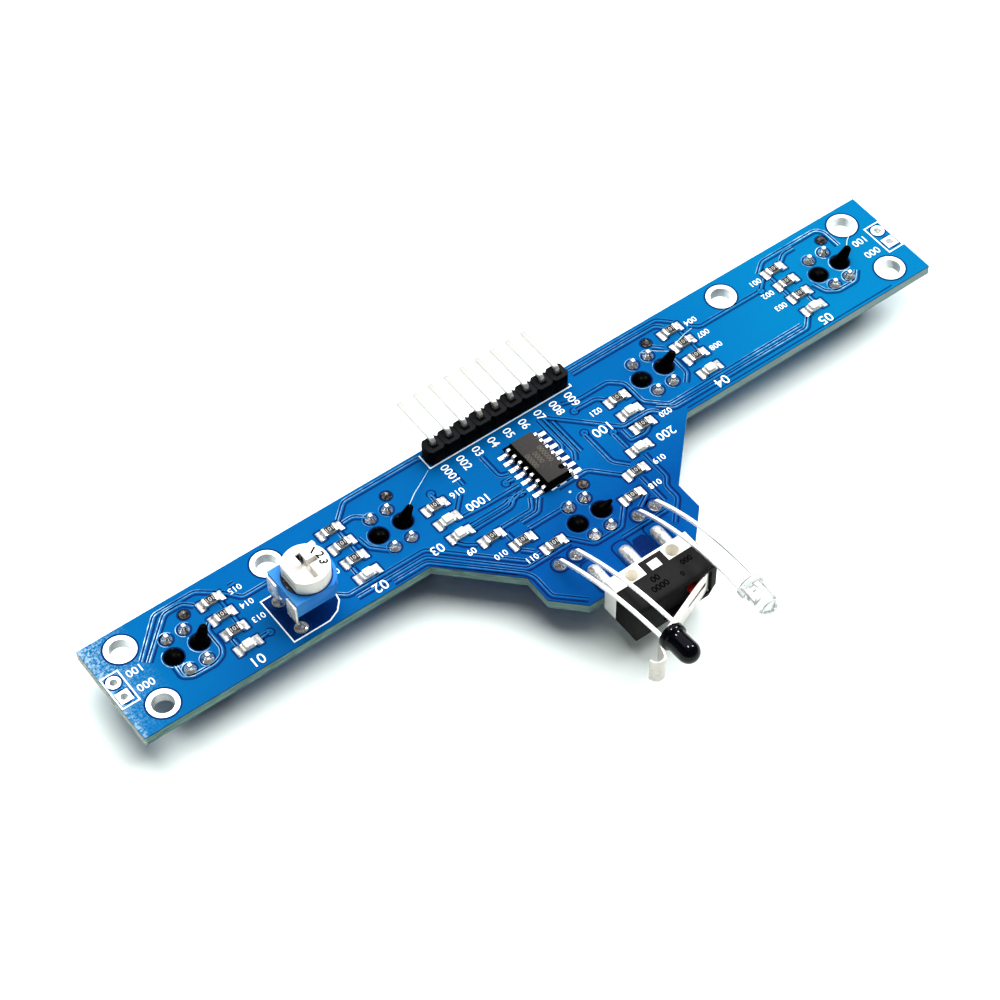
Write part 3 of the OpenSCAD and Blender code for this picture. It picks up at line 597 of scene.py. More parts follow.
def settle(piece, body="board", replaced=()):
    """Lets a finished piece ride on its body, in place of the nodes it replaces."""
    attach(piece, body)
    if replaced:
        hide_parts(*replaced)


def place(mesh, body="board", replaced=()):
    """Makes a piece of a finished mesh."""
    settle(add_object(mesh.name, mesh), body, replaced)


def apply_modifiers(piece):
    """Turns the piece with its modifiers into a plain mesh."""
    bpy.context.view_layer.update()
    graph = bpy.context.evaluated_depsgraph_get()
    done = bpy.data.meshes.new_from_object(piece.evaluated_get(graph))
    piece.modifiers.clear()
    piece.data = done
    return done


@contextmanager
def editing(mesh):
    """Opens a mesh for bmesh tools and writes it back."""
    work = bmesh.new()
    work.from_mesh(mesh)
    yield work
    work.to_mesh(mesh)
    work.free()


def weld_mesh(mesh):
    """Merges doubles and turns the faces outwards."""
    with editing(mesh) as work:
        bmesh.ops.remove_doubles(work, verts=work.verts, dist=1e-6)
        bmesh.ops.recalc_face_normals(work, faces=work.faces)


def soften(mesh, angle):
    """Smooths the faces and marks edges sharper than the angle, so that flat faces stay flat."""
    with editing(mesh) as work:
        for edge in work.edges:
            edge.smooth = len(edge.link_faces) == 2 and edge.calc_face_angle(0) < radians(angle)
        for face in work.faces:
            face.smooth = True


def round_edges(piece, width, angle=None):
    """Rounds edges; with an angle given, only the sharper ones."""
    bevel = piece.modifiers.new("edges", "BEVEL")
    bevel.width = width * MM
    bevel.segments = 2
    bevel.limit_method = "ANGLE"
    if angle:
        bevel.angle_limit = radians(angle)


class Shape:
    """Points and faces gathered for one mesh."""

    def __init__(self, *solids):
        self.points, self.faces, self.picks = [], [], []
        for points, faces in solids:
            self.add(points, faces)

    def add(self, points, faces, picks=None):
        start = len(self.points)
        self.points += [tuple(p) for p in points]
        self.faces += [tuple(start + i for i in face) for face in faces]
        self.picks += picks or [0] * len(faces)

    def mesh(self, name, finishes=(), smooth=False, weld=False, crease=None):
        mesh = new_mesh(name, self.points, self.faces, finishes, self.picks, smooth)
        if weld:
            weld_mesh(mesh)
        if crease:
            soften(mesh, crease)
        return mesh


def at_spot(x, y, z=0.0):
    return Matrix.Translation((x, y, z))


def lathe(profile, segments, spot=Matrix()):
    """Points and faces of a profile of (radius, height) turned about Z."""
    points, faces, rings = [], [], []
    for radius, height in profile:
        turns = [2 * pi * k / segments for k in range(segments if radius > 1e-6 else 1)]
        rings.append([len(points) + k for k in range(len(turns))])
        points += [spot @ Vector((radius * cos(a), radius * sin(a), height)) for a in turns]
    for low, high in zip(rings, rings[1:]):
        for k in range(segments):
            corners = [ring[j % len(ring)] for ring, j in ((low, k), (low, (k + 1) % segments),
                                                           (high, (k + 1) % segments), (high, k))]
            faces.append(tuple(dict.fromkeys(corners)))
    return points, faces


def loft(rings):
    """Points and faces of a closed skin over rings of equal count, capped at both ends."""
    count, last = len(rings[0]), (len(rings) - 1) * len(rings[0])
    faces = [(r + k, r + (k + 1) % count, r + (k + 1) % count + count, r + k + count)
             for r in range(0, last, count) for k in range(count)]
    faces += [tuple(range(count))[::-1], tuple(range(last, last + count))]
    return [p for ring in rings for p in ring], faces


def block(size, bevel, at=(0, 0, 0), segments=2):
    """Points and faces of a box with rounded edges, standing on its place."""
    work = bmesh.new()
    bmesh.ops.create_cube(work, size=1.0)
    for vert in work.verts:
        vert.co = Vector((vert.co.x * size[0], vert.co.y * size[1], (vert.co.z + 0.5) * size[2]))
    bmesh.ops.bevel(work, geom=work.edges[:], offset=bevel, segments=segments, profile=0.5,
                    affect="EDGES")
    work.verts.index_update()
    points = [tuple(vert.co + Vector(at)) for vert in work.verts]
    faces = [tuple(vert.index for vert in face.verts) for face in work.faces]
    work.free()
    return points, faces


def strip(shape, path, bands, closed=False):
    """Sweeps a flat cross-section along a path on the board's face.

    bands is a list of (offset, height, pick): the pick is the finish from that edge to the next.
    """
    path = [Vector(p) for p in path]
    count, wide = len(path), len(bands)
    runs = [(b - a).normalized() for a, b in zip(path, path[1:] + path[:1])]
    points = []
    for i, here in enumerate(path):
        into = runs[i - 1] if i or closed else runs[0]
        away = runs[i] if i + 1 < count or closed else into
        side_in, side_out = Vector((-into.y, into.x)), Vector((-away.y, away.x))
        side = side_in + side_out
        side = side.normalized() if side.length > 0.1 else side_in
        side = side / max(side.dot(side_in), 0.5)
        points += [(*(here + side * offset), height) for offset, height, _ in bands]
    steps = range(count if closed else count - 1)
    faces = [(a + b + 1, a + b, c + b, c + b + 1)
             for a, c in ((i * wide, (i + 1) % count * wide) for i in steps)
             for b in range(wide - 1)]
    shape.add(points, faces, [pick for _, _, pick in bands[:-1]] * len(steps))


def sheet_of(shape, outline, z, pick=0):
    """A flat face with that outline."""
    shape.add([(x, y, z) for x, y in outline], [tuple(range(len(outline)))], [pick])


def ring_path(at, radius, count, start=0.0, end=360.0):
    """Points round a circle, without the last one where it is closed."""
    steps = count if end - start >= 360 else count - 1
    turns = [radians(start + (end - start) * k / steps) for k in range(count)]
    return [(at[0] + radius * cos(a), at[1] + radius * sin(a)) for a in turns]


def rectangle(x0, y0, x1, y1):
    return [(x0, y0), (x1, y0), (x1, y1), (x0, y1)]


def rounded_rect(x0, y0, x1, y1, radius):
    """A closed outline with rounded corners."""
    corners = rectangle(x1 - radius, y1 - radius, x0 + radius, y0 + radius)
    return [p for k, at in enumerate(corners)
            for p in ring_path(at, radius, 5, 90 * k, 90 * k + 90)]


def rounded(path, radius=0.5, steps=3):
    """A path with its corners rounded."""
    result = [path[0]]
    for before, here, after in zip(path, path[1:], path[2:]):
        here = Vector(here)
        back, ahead = Vector(before) - here, Vector(after) - here
        reach = min(radius, back.length / 2.2, ahead.length / 2.2)
        start, end = here + back.normalized() * reach, here + ahead.normalized() * reach
        result += [tuple(start.lerp(here, t).lerp(here.lerp(end, t), t))
                   for t in (k / steps for k in range(steps + 1))]
    return result + [path[-1]]


def letter_mesh(text, height, bold):
    """Flat outline of plain figures, centred, with caps of that height in millimetres."""
    curve = bpy.data.curves.new("figures", "FONT")
    curve.body = text
    curve.size = height / CAP_SHARE
    curve.align_x = "CENTER"
    curve.offset = bold
    curve.resolution_u = 3
    holder = add_object("figures", curve)
    bpy.context.view_layer.update()
    graph = bpy.context.evaluated_depsgraph_get()
    flat = bpy.data.meshes.new_from_object(holder.evaluated_get(graph))
    points = [Vector((v.co.x, v.co.y - height / 2, 0)) for v in flat.vertices]
    faces = [tuple(p.vertices) for p in flat.polygons]
    bpy.data.objects.remove(holder)
    bpy.data.curves.remove(curve)
    bpy.data.meshes.remove(flat)
    return points, faces


def write_figures(shape, text, at, height, turn, z, bold=0.01):
    """Adds figures to a shape, turned in degrees, standing at height z."""
    points, faces = letter_mesh(text, height, bold)
    spot = at_spot(*at, z) @ Matrix.Rotation(radians(turn), 4, "Z")
    shape.add([spot @ p for p in points], faces)


def repeat_tree(name):
    """Geometry nodes that put one shape on every point, then set its finish."""
    tree = bpy.data.node_groups.new(name, "GeometryNodeTree")
    for title, way, kind in (("Geometry", "INPUT", "Geometry"), ("Shape", "INPUT", "Object"),
                             ("Finish", "INPUT", "Material"), ("Size change", "INPUT", "Float"),
                             ("Turn", "INPUT", "Float"), ("Seed", "INPUT", "Int"),
                             ("Geometry", "OUTPUT", "Geometry")):
        socket = tree.interface.new_socket(title, in_out=way, socket_type="NodeSocket" + kind)
        if title == "Size change":
            socket.min_value, socket.max_value = 0.0, 0.5

    m = Maker(tree)
    given = {socket.name: Wire(m, socket) for socket in tree.nodes.new("NodeGroupInput").outputs}
    change, seed = given["Size change"], given["Seed"]
    size, turn = (m.add("FunctionNodeRandomValue", {"data_type": "FLOAT"}, values, 1)
                  for values in ({2: 1 - change, 3: 1 + change, "Seed": seed},
                                 {3: given["Turn"], "Seed": seed}))
    copies = m.add("GeometryNodeInstanceOnPoints", {}, {
        "Points": given["Geometry"], "Scale": size,
        "Instance": m.add("GeometryNodeObjectInfo", {}, {"Object": given["Shape"]}, "Geometry"),
        "Rotation": m.add("ShaderNodeCombineXYZ", {}, {"Z": turn})})
    real = m.add("GeometryNodeRealizeInstances", {}, (copies,))
    finished = m.add("GeometryNodeSetMaterial", {}, {"Geometry": real,
                                                     "Material": given["Finish"]})
    m.put(tree.nodes.new("NodeGroupOutput").inputs[0], finished)
    return tree


def repeat(shape_mesh, spots, finish, slot, replaced=(), spread=0.0, turn=0.0, seed=1):
    """One mesh of a shape repeated on spots, made by geometry nodes."""
    name = shape_mesh.name
    source = add_object(name + "_shape", shape_mesh)
    piece = add_object(name, new_mesh(name, [(x, y, 0.0) for x, y in spots], [], []))
    tree = bpy.data.node_groups.get("follower_repeat") or repeat_tree("follower_repeat")
    nodes = piece.modifiers.new("repeat", "NODES")
    nodes.node_group = tree
    values = {"Shape": source, "Finish": material(finish), "Size change": spread, "Turn": turn,
              "Seed": seed}
    for item in tree.interface.items_tree:
        if item.in_out == "INPUT" and item.name in values:
            nodes[item.identifier] = values[item.name]
    if len(apply_modifiers(piece).polygons) == 0:
        raise RuntimeError(f"{name}: the repeated shape came out empty")
    bpy.data.objects.remove(source)
    settle(piece, replaced=replaced)


def dressed_copy(node, name, finish, bevel, body="board", angle=35.0):
    """A welded copy of a CAD node with rounded edges that stands for the node."""
    mesh = NODES[node].data.copy()
    mesh.name = name
    mesh.materials.clear()
    mesh.materials.append(material(finish))
    with editing(mesh) as work:
        bmesh.ops.remove_doubles(work, verts=work.verts, dist=2e-6)
        bmesh.ops.dissolve_limit(work, angle_limit=radians(1.0), verts=work.verts,
                                 edges=work.edges)
    mesh.polygons.foreach_set("material_index", [0] * len(mesh.polygons))
    piece = add_object(name, mesh)
    round_edges(piece, bevel, angle)
    soften(apply_modifiers(piece), angle)
    settle(piece, body, (node,))


def paint(finish, *nodes):
    """Gives CAD nodes that stay in view their finish."""
    for node in nodes:
        if not NODES[node].material_slots:
            NODES[node].data.materials.append(material(finish))
        for slot in NODES[node].material_slots:
            slot.material = material(finish)


# ---------- the board's face ----------

# Finishes of the relief; glint is a painted highlight and deep a painted shadow
RELIEF = ["gap", "edge", "raised", "glint", "deep"]
GAP, EDGE, RAISED, PAINTED_GLINT, CHIP_SHADOW = range(5)
# Heights of the lacquer beside the copper, and of the bare strip between
LOW = 0.006
BED = LOW + 0.002
# Direction on the board's face that the painted highlights on track edges look in
LIT = Vector((-0.5, 0.86))


def track_sizes(context):
    """Width, clearance and height of a track."""
    sizes = context.scene.follower_sizes
    return sizes.track / MM, sizes.clearance / MM, sizes.copper / MM


def track_bands(width, clearance, copper):
    """Cross-section of a track between its two bare strips."""
    half, slope = width / 2, 0.05
    return [(-half - clearance - slope, LOW, EDGE), (-half - clearance, BED, GAP),
            (-half, BED, EDGE), (-half + slope, copper, RAISED), (half - slope, copper, EDGE),
            (half, BED, GAP), (half + clearance, BED, EDGE), (half + clearance + slope, LOW, EDGE)]


def gap_bands(width):
    """Cross-section of a bare strip in the copper."""
    half = width / 2
    return [(-half - 0.04, LOW, EDGE), (-half, BED, GAP), (half, BED, EDGE),
            (half + 0.04, LOW, EDGE)]


# Routes of the tracks on the component face, end to end
TRACKS = [
    [(-58.2, 1.7), (-53.2, 6.75), (-47.3, 6.75), (-44.4, 4.4), (-42.8, 2.35), (-38.5, 2.35)],
    [(-57.5, 1.05), (-52.1, 6.1), (-49.6, 6.1), (-48.5, 5.0)],
    [(-55.4, -1.2), (-55.5, -3.2), (-54.3, -4.0), (-51.0, -4.1), (-49.6, -3.5), (-48.95, -2.4),
     (-48.95, 0.9), (-48.2, 1.6)],
    [(-45.3, 3.4), (-45.3, 2.5)],
    [(-45.3, 0.6), (-45.3, -0.3)],
    [(-47.2, -2.2), (-47.2, -3.3)],
    [(-44.6, -4.2), (-43.0, -4.1)],
    [(-43.3, 4.9), (-42.4, 4.9)],
    [(-26.2, 5.1), (-24.0, 7.1), (-12.2, 7.1), (-11.0, 6.3)],
    [(-26.0, 4.3), (-24.5, 4.4), (-23.2, 3.3)],
    [(-26.0, 1.2), (-25.7, -0.9), (-23.3, -3.3)],
    [(-27.1, 3.4), (-27.1, 2.5)],
    [(-27.1, 0.6), (-27.1, -0.3)],
    [(-29.0, -2.2), (-29.0, -3.3)],
    [(-33.2, -4.4), (-32.0, -5.5), (-20.2, -5.5), (-10.8, -14.9), (-8.6, -14.9)],
    [(-31.2, -6.5), (-20.7, -6.5), (-11.4, -15.9), (-4.6, -15.9)],
    [(-26.2, -7.35), (-21.1, -7.35), (-12.1, -16.3), (-11.6, -17.4), (-11.6, -21.0),
     (-8.2, -24.3)],
    [(-14.2, 1.4), (-14.2, 0.2)],
    [(-9.9, 2.8), (-9.9, 0.0)],
    [(-5.3, 2.4), (-5.3, -1.6), (-4.2, -1.93)],
    [(-5.4, -3.1), (-4.2, -3.2)],
    [(-13.1, -4.2), (-9.6, -4.45), (-4.2, -4.47)],
    [(-13.1, -5.9), (-7.5, -5.9), (-6.4, -5.6)],
    [(-13.1, -6.7), (-7.2, -6.7), (-5.9, -5.74), (-4.2, -5.74)],
    [(-4.2, -7.01), (-5.2, -8.65), (-10.1, -8.65)],
    [(-3.2, -7.6), (-4.8, -9.45), (-7.6, -9.5)],
    [(-16.3, -6.9), (-15.6, -8.0), (-14.3, -8.9)],
    [(-13.1, -2.9), (-11.2, -1.0)],
    [(-10.1, -9.6), (-10.1, -10.9)],
    [(-10.4, -13.0), (-9.2, -14.2)],
    [(-7.4, -10.9), (-1.8, -10.9)],
    [(-4.6, -14.9), (-2.2, -17.9), (2.2, -17.9), (4.6, -15.4)],
    [(-0.5, -7.9), (4.3, -7.9), (7.4, -11.2)],
    [(7.9, -2.8), (7.9, -8.6), (9.5, -10.4)],
    [(11.0, -5.0), (11.0, -8.0)],
    [(11.9, -5.2), (11.9, -7.4), (14.4, -7.6), (15.6, -6.9)],
    [(12.1, -10.2), (12.1, -14.9), (11.1, -16.0), (11.1, -18.4), (8.2, -21.4)],
    [(9.4, -12.9), (9.4, -17.8)],
    [(6.2, -16.8), (8.3, -15.6)],
    [(1.2, -19.2), (8.6, -19.2)],
    [(5.2, 2.6), (12.6, -5.0), (17.1, -5.0), (17.9, -5.8)],
    [(8.4, 3.1), (11.0, 2.35), (15.6, 2.35), (17.25, 0.8), (17.25, -3.1), (19.9, -5.7),
     (42.9, -5.7)],
    [(18.2, -4.9), (20.1, -6.55), (43.2, -6.55), (44.8, -4.9)],
    [(9.1, 1.1), (12.6, 1.0), (13.4, 0.2)],
    [(4.35, 2.9), (4.35, -2.4), (3.9, -3.1)],
    [(5.05, 2.6), (5.05, -4.3), (4.2, -5.6)],
    [(5.75, 1.5), (5.75, -4.8)],
    [(12.7, 7.1), (27.6, 7.1), (29.3, 5.4)],
    [(12.7, 6.3), (26.8, 6.3), (27.6, 5.4)],
    [(30.6, 3.6), (31.8, 2.5), (42.5, 2.5), (44.2, 4.0)],
    [(24.2, 3.6), (25.4, 2.4)],
    [(25.5, 0.2), (25.4, -2.7), (24.1, -4.1)],
    [(44.2, 5.0), (46.1, 6.5), (55.7, 6.5), (56.4, 5.6), (56.4, 2.5)],
    [(48.2, 4.9), (49.4, 5.8), (51.2, 5.8)],
    [(48.9, -0.9), (49.5, -3.0), (51.0, -4.0), (54.2, -4.0), (55.6, -2.6)],
    [(45.2, 3.4), (45.2, 2.5)],
    [(45.2, 0.6), (45.2, -0.3)],
    [(47.2, -2.2), (47.2, -3.3)],
    [(29.0, 3.4), (29.0, 2.5)],
    [(29.0, 0.6), (29.0, -0.3)],
]
# Rims of the copper pour
POUR_RIMS = [
    [(21.4, -7.55), (57.5, -7.55)],
    [(-20.8, -7.8), (-13.0, -15.7)],
]
VIAS = [(-43.0, -4.1), (-14.2, 1.4), (-5.4, -3.1), (-6.4, -5.6), (-4.9, -5.6), (7.9, -2.6),
        (11.0, -4.8), (9.1, 1.1), (-38.5, 2.35), (42.5, 2.5), (-11.0, 6.3)]
# Where the copper is left out: under the trimmer, between two switch terminals, round the chip
# Under the trimmer and round the chip the dark tone of the bare laminate is also painted shade.
BARE_AND_SHADE = [
    [(-41.3, 0.4), (-41.3, -7.1), (-36.0, -7.1), (-34.4, -6.4), (-33.4, -5.3), (-33.2, -4.2),
     (-33.2, 0.4)],
    [(3.95, -24.8), (3.95, -20.8), (3.5, -20.2), (2.0, -20.2), (1.45, -21.2), (1.45, -24.8)],
    [(-3.2, -7.5), (3.9, -7.5), (3.9, 1.2), (-3.2, 1.2)],
]
# Painted shadow: a dark sheet in the gap under the chip's body
CHIP_SHADOW_SHEET = rectangle(-2.45, -7.45, 2.35, 1.75)


def add_painted_glint(shape, path, half, height, closed=False):
    """Painted highlight: a thin bright line on the edge of a track that faces the light."""
    run = Vector(path[-1]) - Vector(path[0])
    side = 1 if closed or Vector((-run.y, run.x)).dot(LIT) > 0 else -1
    strip(shape, path, [(side * half + edge, height, PAINTED_GLINT) for edge in (-0.055, 0.055)], closed)


def build_tracks(context):
    """Tracks, bare strips, painted highlights and painted shade on the component face."""
    width, clearance, copper = track_sizes(context)
    shape = Shape()

    def add_rings(spots, radius, count, gap):
        for at in spots:
            strip(shape, ring_path(at, radius, count), gap_bands(gap), closed=True)

    for route in TRACKS:
        strip(shape, rounded(route), track_bands(width, clearance, copper))
        # Painted highlights along the lit edges of each track and its bare strip
        add_painted_glint(shape, rounded(route), width / 2 - 0.03, copper + 0.004)
        add_painted_glint(shape, rounded(route), width / 2 + clearance + 0.03, copper + 0.002)
    # Bare laminate, partly painted shade
    for outline in BARE_AND_SHADE:
        sheet_of(shape, outline, LOW - 0.002, GAP)
    # Painted shadow under the chip's body
    sheet_of(shape, CHIP_SHADOW_SHEET, LOW + 0.004, CHIP_SHADOW)
    for rim in POUR_RIMS:
        strip(shape, rim, gap_bands(0.2))
    add_rings(HOLES, 2.3, 48, 0.22)
    add_rings(SENSOR_LEADS, 0.95, 24, 0.26)
    add_rings(SPARE_VIAS, 0.86, 24, 0.2)
    add_rings(HEADER_PADS + TRIMMER_PADS, 1.15, 24, 0.26)
    add_rings(PAIR_PADS, 1.2, 24, 0.26)
    for at in VIAS:
        add_rings([at], 0.6, 18, 0.2)
        for radius, count, bands in (
                (0.3, 18, [(-0.17, 0.012, RAISED), (-0.1, 0.03, RAISED), (0.1, 0.03, EDGE),
                           (0.17, 0.012, EDGE)]),
                (0.08, 8, [(-0.07, 0.012, GAP), (0.06, 0.012, GAP)])):
            strip(shape, ring_path(at, radius, count), bands, closed=True)
    for x, y in SENSOR_AT:
        for at in ((x - PEG_X, y), (x + PEG_X, y)):
            strip(shape, ring_path(at, 1.5, 36), [(-0.02, LOW, GAP), (0.16, LOW, GAP)], True)
            # Painted highlight in a broken arc beside each peg
            add_painted_glint(shape, ring_path(at, 1.58, 24, 120, 290), 0.0, LOW + 0.004)
    # Painted highlights in broken arcs round the sensors' leads
    for at in SENSOR_LEADS:
        add_painted_glint(shape, ring_path(at, 1.1, 20, 30, 250), 0.0, LOW + 0.006)
    add_rings(END_PADS, 1.1, 24, 0.18)
    for x, y in RESISTOR_AT + STATUS_AT:
        for end in (x - 1.42, x + 1.42):
            strip(shape, rounded_rect(end - 0.62, y - 0.98, end + 0.62, y + 0.98, 0.2),
                  gap_bands(0.2), closed=True)
    for x in TERMINAL_X:
        strip(shape, rounded_rect(x - 1.25, NOSE_Y + 0.15, x + 1.25, -19.3, 0.9),
              gap_bands(0.24), closed=True)
    place(shape.mesh("mask_relief", RELIEF))


def build_underside(context):
    """Tracks from the sensors to the header on the hidden face."""
    shape = Shape()

    def add_track(route):
        strip(shape, rounded(route), track_bands(*track_sizes(context)))

    for sensor, pin, lane in ((0, 1, 4.5), (1, 3, 3.5), (3, 5, 3.5), (4, 7, 4.5)):
        sx, sy = SENSOR_AT[sensor]
        side = copysign(1, sx)
        lead_x = sx - side * SENSOR_PIN[0]
        detour = ((41.2, lane), (39.8, 2.2), (35.2, 2.2), (33.8, lane)) if abs(sx) > 40 else ()
        add_track([(lead_x, sy + SENSOR_PIN[1]), (lead_x - side * 2.5, lane)]
                  + [(side * x, y) for x, y in detour]
                  + [(HEADER_X[pin] + side * 2.2, lane), (HEADER_X[pin], HEADER_AT[1] - 0.9)])
    for side in BOTH:
        add_track([(side * x, y) for x, y in (
            (END_PAD_X - 1.0, -PITCH / 2), (57.4, -PITCH / 2), (56.1, -2.6), (56.1, -5.4),
            (54.9, -6.6), (22, -6.6), (8.8, -3.2))])
    mesh = shape.mesh("underside_relief", RELIEF[:3])
    mesh.transform(at_spot(0, 0, -BOARD_T * MM) @ Matrix.Scale(-1, 4, (0, 0, 1)))
    mesh.flip_normals()
    place(mesh)


# ---------- printed marks ----------

# Share of a figure's size that its cap takes up
CAP_SHARE = 0.7
INK_T = 0.035
# Figures beside the parts: text, place, cap height; all read from the header's side
FIGURES = [
    ("015", (-42.9, 4.1), 0.9), ("014", (-42.9, 1.35), 0.9), ("013", (-42.9, -1.4), 0.9),
    ("012", (-31.6, 4.1), 0.9), ("006", (-31.6, 1.35), 0.9), ("005", (-31.6, -1.4), 0.9),
    ("004", (31.3, 4.1), 0.9), ("007", (31.3, 1.35), 0.9), ("008", (31.3, -1.4), 0.9),
    ("001", (42.8, 4.1), 0.9), ("002", (42.8, 1.35), 0.9), ("003", (42.8, -1.4), 0.9),
    ("01", (-46.6, -6.75), 1.5), ("02", (-27.9, -6.75), 1.5), ("03", (-18.8, -6.4), 1.4),
    ("04", (28.0, -6.75), 1.5), ("05", (46.3, -6.75), 1.5),
    ("016", (-11.4, -0.55), 1.0), ("1000", (-10.1, -3.45), 1.3), ("09", (-15.5, -9.3), 0.95),
    ("010", (-12.8, -12.0), 0.9), ("011", (-10.0, -14.85), 0.9), ("021", (11.2, -0.75), 0.9),
    ("100", (10.2, -3.65), 1.5), ("020", (18.6, -6.35), 0.9), ("200", (16.4, -9.2), 1.35),
    ("019", (13.0, -12.0), 0.9), ("018", (10.0, -14.9), 0.9),
    ("100", (-59.6, 1.2), 1.15), ("000", (-59.6, -1.4), 1.15),
    ("100", (59.4, 1.2), 1.15), ("000", (59.4, -1.4), 1.15),
]
HEADER_FIGURES = ["0001", "002", "03", "04", "05", "06", "07", "008", "009"]
MARK_LINES = [
    [(-11.8, 7.45), (-11.8, 4.85), (11.4, 4.85), (11.4, 5.3)],
    [(-39.8, 0.45), (-41.4, 0.45), (-41.4, -7.2), (-36.0, -7.2), (-34.4, -6.5), (-33.3, -5.3),
     (-33.1, -4.25)],
]


def build_marks(context):
    """Outlines, dots and figures in ink."""
    shape = Shape()

    def add_line(path, width=0.2, closed=False):
        half = width / 2
        strip(shape, path, [(-half, 0.0, 0), (-half + 0.01, INK_T, 0), (half - 0.01, INK_T, 0),
                            (half, 0.0, 0)], closed)

    for line in MARK_LINES:
        add_line(line)
    for side in BOTH:
        inner, outer = side * 61.35, side * 63.85
        add_line([(inner, 2.55), (outer, 2.55), (outer, -2.75), (inner, -2.75)], 0.22, True)
    add_line([(-1.35, -7.6), (-0.45, -7.6)])
    add_line([(0.05, -7.6), (1.1, -7.6)])
    for at, size in (((2.5, -7.8), 0.3), ((0.4, -9.25), 0.18)):
        shape.add(*lathe([(size, 0.0), (size - 0.02, INK_T), (0.0, INK_T)], 16, at_spot(*at)))
    for text, at, height in FIGURES:
        write_figures(shape, text, at, height, 180, INK_T)
    for x, text in zip(HEADER_X, HEADER_FIGURES):
        write_figures(shape, text, (x + 0.05, 4.3 - 0.44 * len(text)), 1.2, -90, INK_T)
    place(shape.mesh("silk_marks", ["ink"]))


# ---------- solder ----------

# Cones of solder as (radius, height), over a long lead and over a cropped one
CONE = [(0.84, 0.0), (0.83, 0.05), (0.72, 0.16), (0.58, 0.32), (0.47, 0.50), (0.40, 0.68),
        (0.33, 0.80), (0.18, 0.86), (0.0, 0.88)]
LOW_CONE = [(0.92, 0.0), (0.91, 0.05), (0.76, 0.14), (0.58, 0.24), (0.44, 0.36), (0.36, 0.46),
            (0.2, 0.5), (0.0, 0.51)]
# Share of the cone's set height that a sensor's lead has
LEAD_SHARE = 0.8


def scaled(profile, wide, high):
    """A lathe profile made wider and higher."""
    return [(r * wide, z * high) for r, z in profile]


def build_solder(context):
    """Cones round the leads on both faces, the filled vias and what lies on the flat pads."""
    height = context.scene.follower_sizes.cone / MM * LEAD_SHARE / CONE[-1][1]
    cone = Shape(lathe(scaled(CONE, 1.0, height), 18)).mesh("lead_solder", smooth=True)
    repeat(cone, SENSOR_LEADS, "solder", "solder", ("solder_joints",), 0.05, 6.2, 4)
    joints = Shape()
    below = at_spot(0, 0, -BOARD_T) @ Matrix.Rotation(pi, 4, "X")
    for spots, top, low in (
            (PAIR_PADS, scaled(LOW_CONE, 1.0, 1.1), scaled(CONE, 1.0, 0.95)),
            (TRIMMER_PADS, scaled(LOW_CONE, 1.05, 0.8), scaled(CONE, 1.1, 0.95)),
            (HEADER_PADS, scaled(LOW_CONE, 1.0, 0.3), scaled(CONE, 1.02, 0.95))):
        for at in spots:
            joints.add(*lathe(top, 24, at_spot(*at)))
            joints.add(*lathe(low, 24, at_spot(*at) @ below))
    place(joints.mesh("joint_cones", ["solder"], smooth=True))
    dish = [(0.76, 0.0), (0.74, 0.08), (0.62, 0.14), (0.48, 0.10), (0.3, 0.05), (0.0, 0.03)]
    vias = Shape(*[lathe(dish, 24, at_spot(*at)) for at in SPARE_VIAS])
    place(vias.mesh("filled_vias", ["dark_via"], smooth=True))
    build_terminal_solder()
    build_chip_solder()


def build_terminal_solder():
    """Long pillows of solder over the flat terminals of the bump switch."""
    # Place along the terminal, half width and height of each section
    steps = [(-24.75, 0.50, 0.62), (-24.6, 0.78, 0.80), (-24.0, 0.86, 0.88), (-22.6, 0.90, 0.92),
             (-21.4, 0.92, 0.95), (-20.8, 0.84, 0.80), (-20.45, 0.62, 0.48), (-20.28, 0.3, 0.2)]
    turns = [pi * k / 12 for k in range(12, -1, -1)]
    pillows = Shape(*[loft([[(x + wide * cos(a), y, high * sin(a) ** 0.8) for a in turns]
                            for y, wide, high in steps]) for x in TERMINAL_X])
    place(pillows.mesh("terminal_solder", ["pad_solder"], weld=True, crease=50))


def wedge(side, wide, top):
    """Solder climbing one end of a chip that stands at the origin."""
    profile = [(0.90, top), (1.03, top * 0.92), (1.12, top * 0.6), (1.28, top * 0.3),
               (1.52, 0.09), (1.80, 0.06), (1.88, 0.0)]
    rings = []
    for k, (x, z) in enumerate(profile):
        half = wide * (0.80 + 0.2 * min(k / 3, 1.0))
        across = [(-half, 0.0), (-half + 0.05, z * 0.75), (-half * 0.75, z), (half * 0.75, z),
                  (half - 0.05, z * 0.75), (half, 0.0)]
        rings.append([(side * x, y, h) for y, h in across])
    return loft(rings)


def build_chip_solder():
    """Solder at the ends of the small chips, and the comparator's pads."""
    for name, spots, top in (("resistor_solder", RESISTOR_AT, 0.46),
                             ("status_solder", STATUS_AT, 0.5)):
        ends = Shape(*[wedge(side, 0.8, top) for side in BOTH]).mesh(name, weld=True, crease=40)
        repeat(ends, spots, "pad_solder", "solder", (), 0.02, 0.03, 7)
    x, y = CHIP_AT
    pads = Shape(*[block((0.95 - side * 0.15, 0.30, 0.08), 0.03,
                         (x + side * 3.25 - 0.05, y + k * CHIP_PITCH, 0))
                   for k in range(-3, 4) for side in BOTH])
    place(pads.mesh("ic_pads", ["leg"], crease=40))


# ---------- parts ----------

def build_board(context):
    """Finish of the laminate and its plating."""
    paint("mask", "circuit_board")
    paint("plating", "hole_plating", "end_pads")


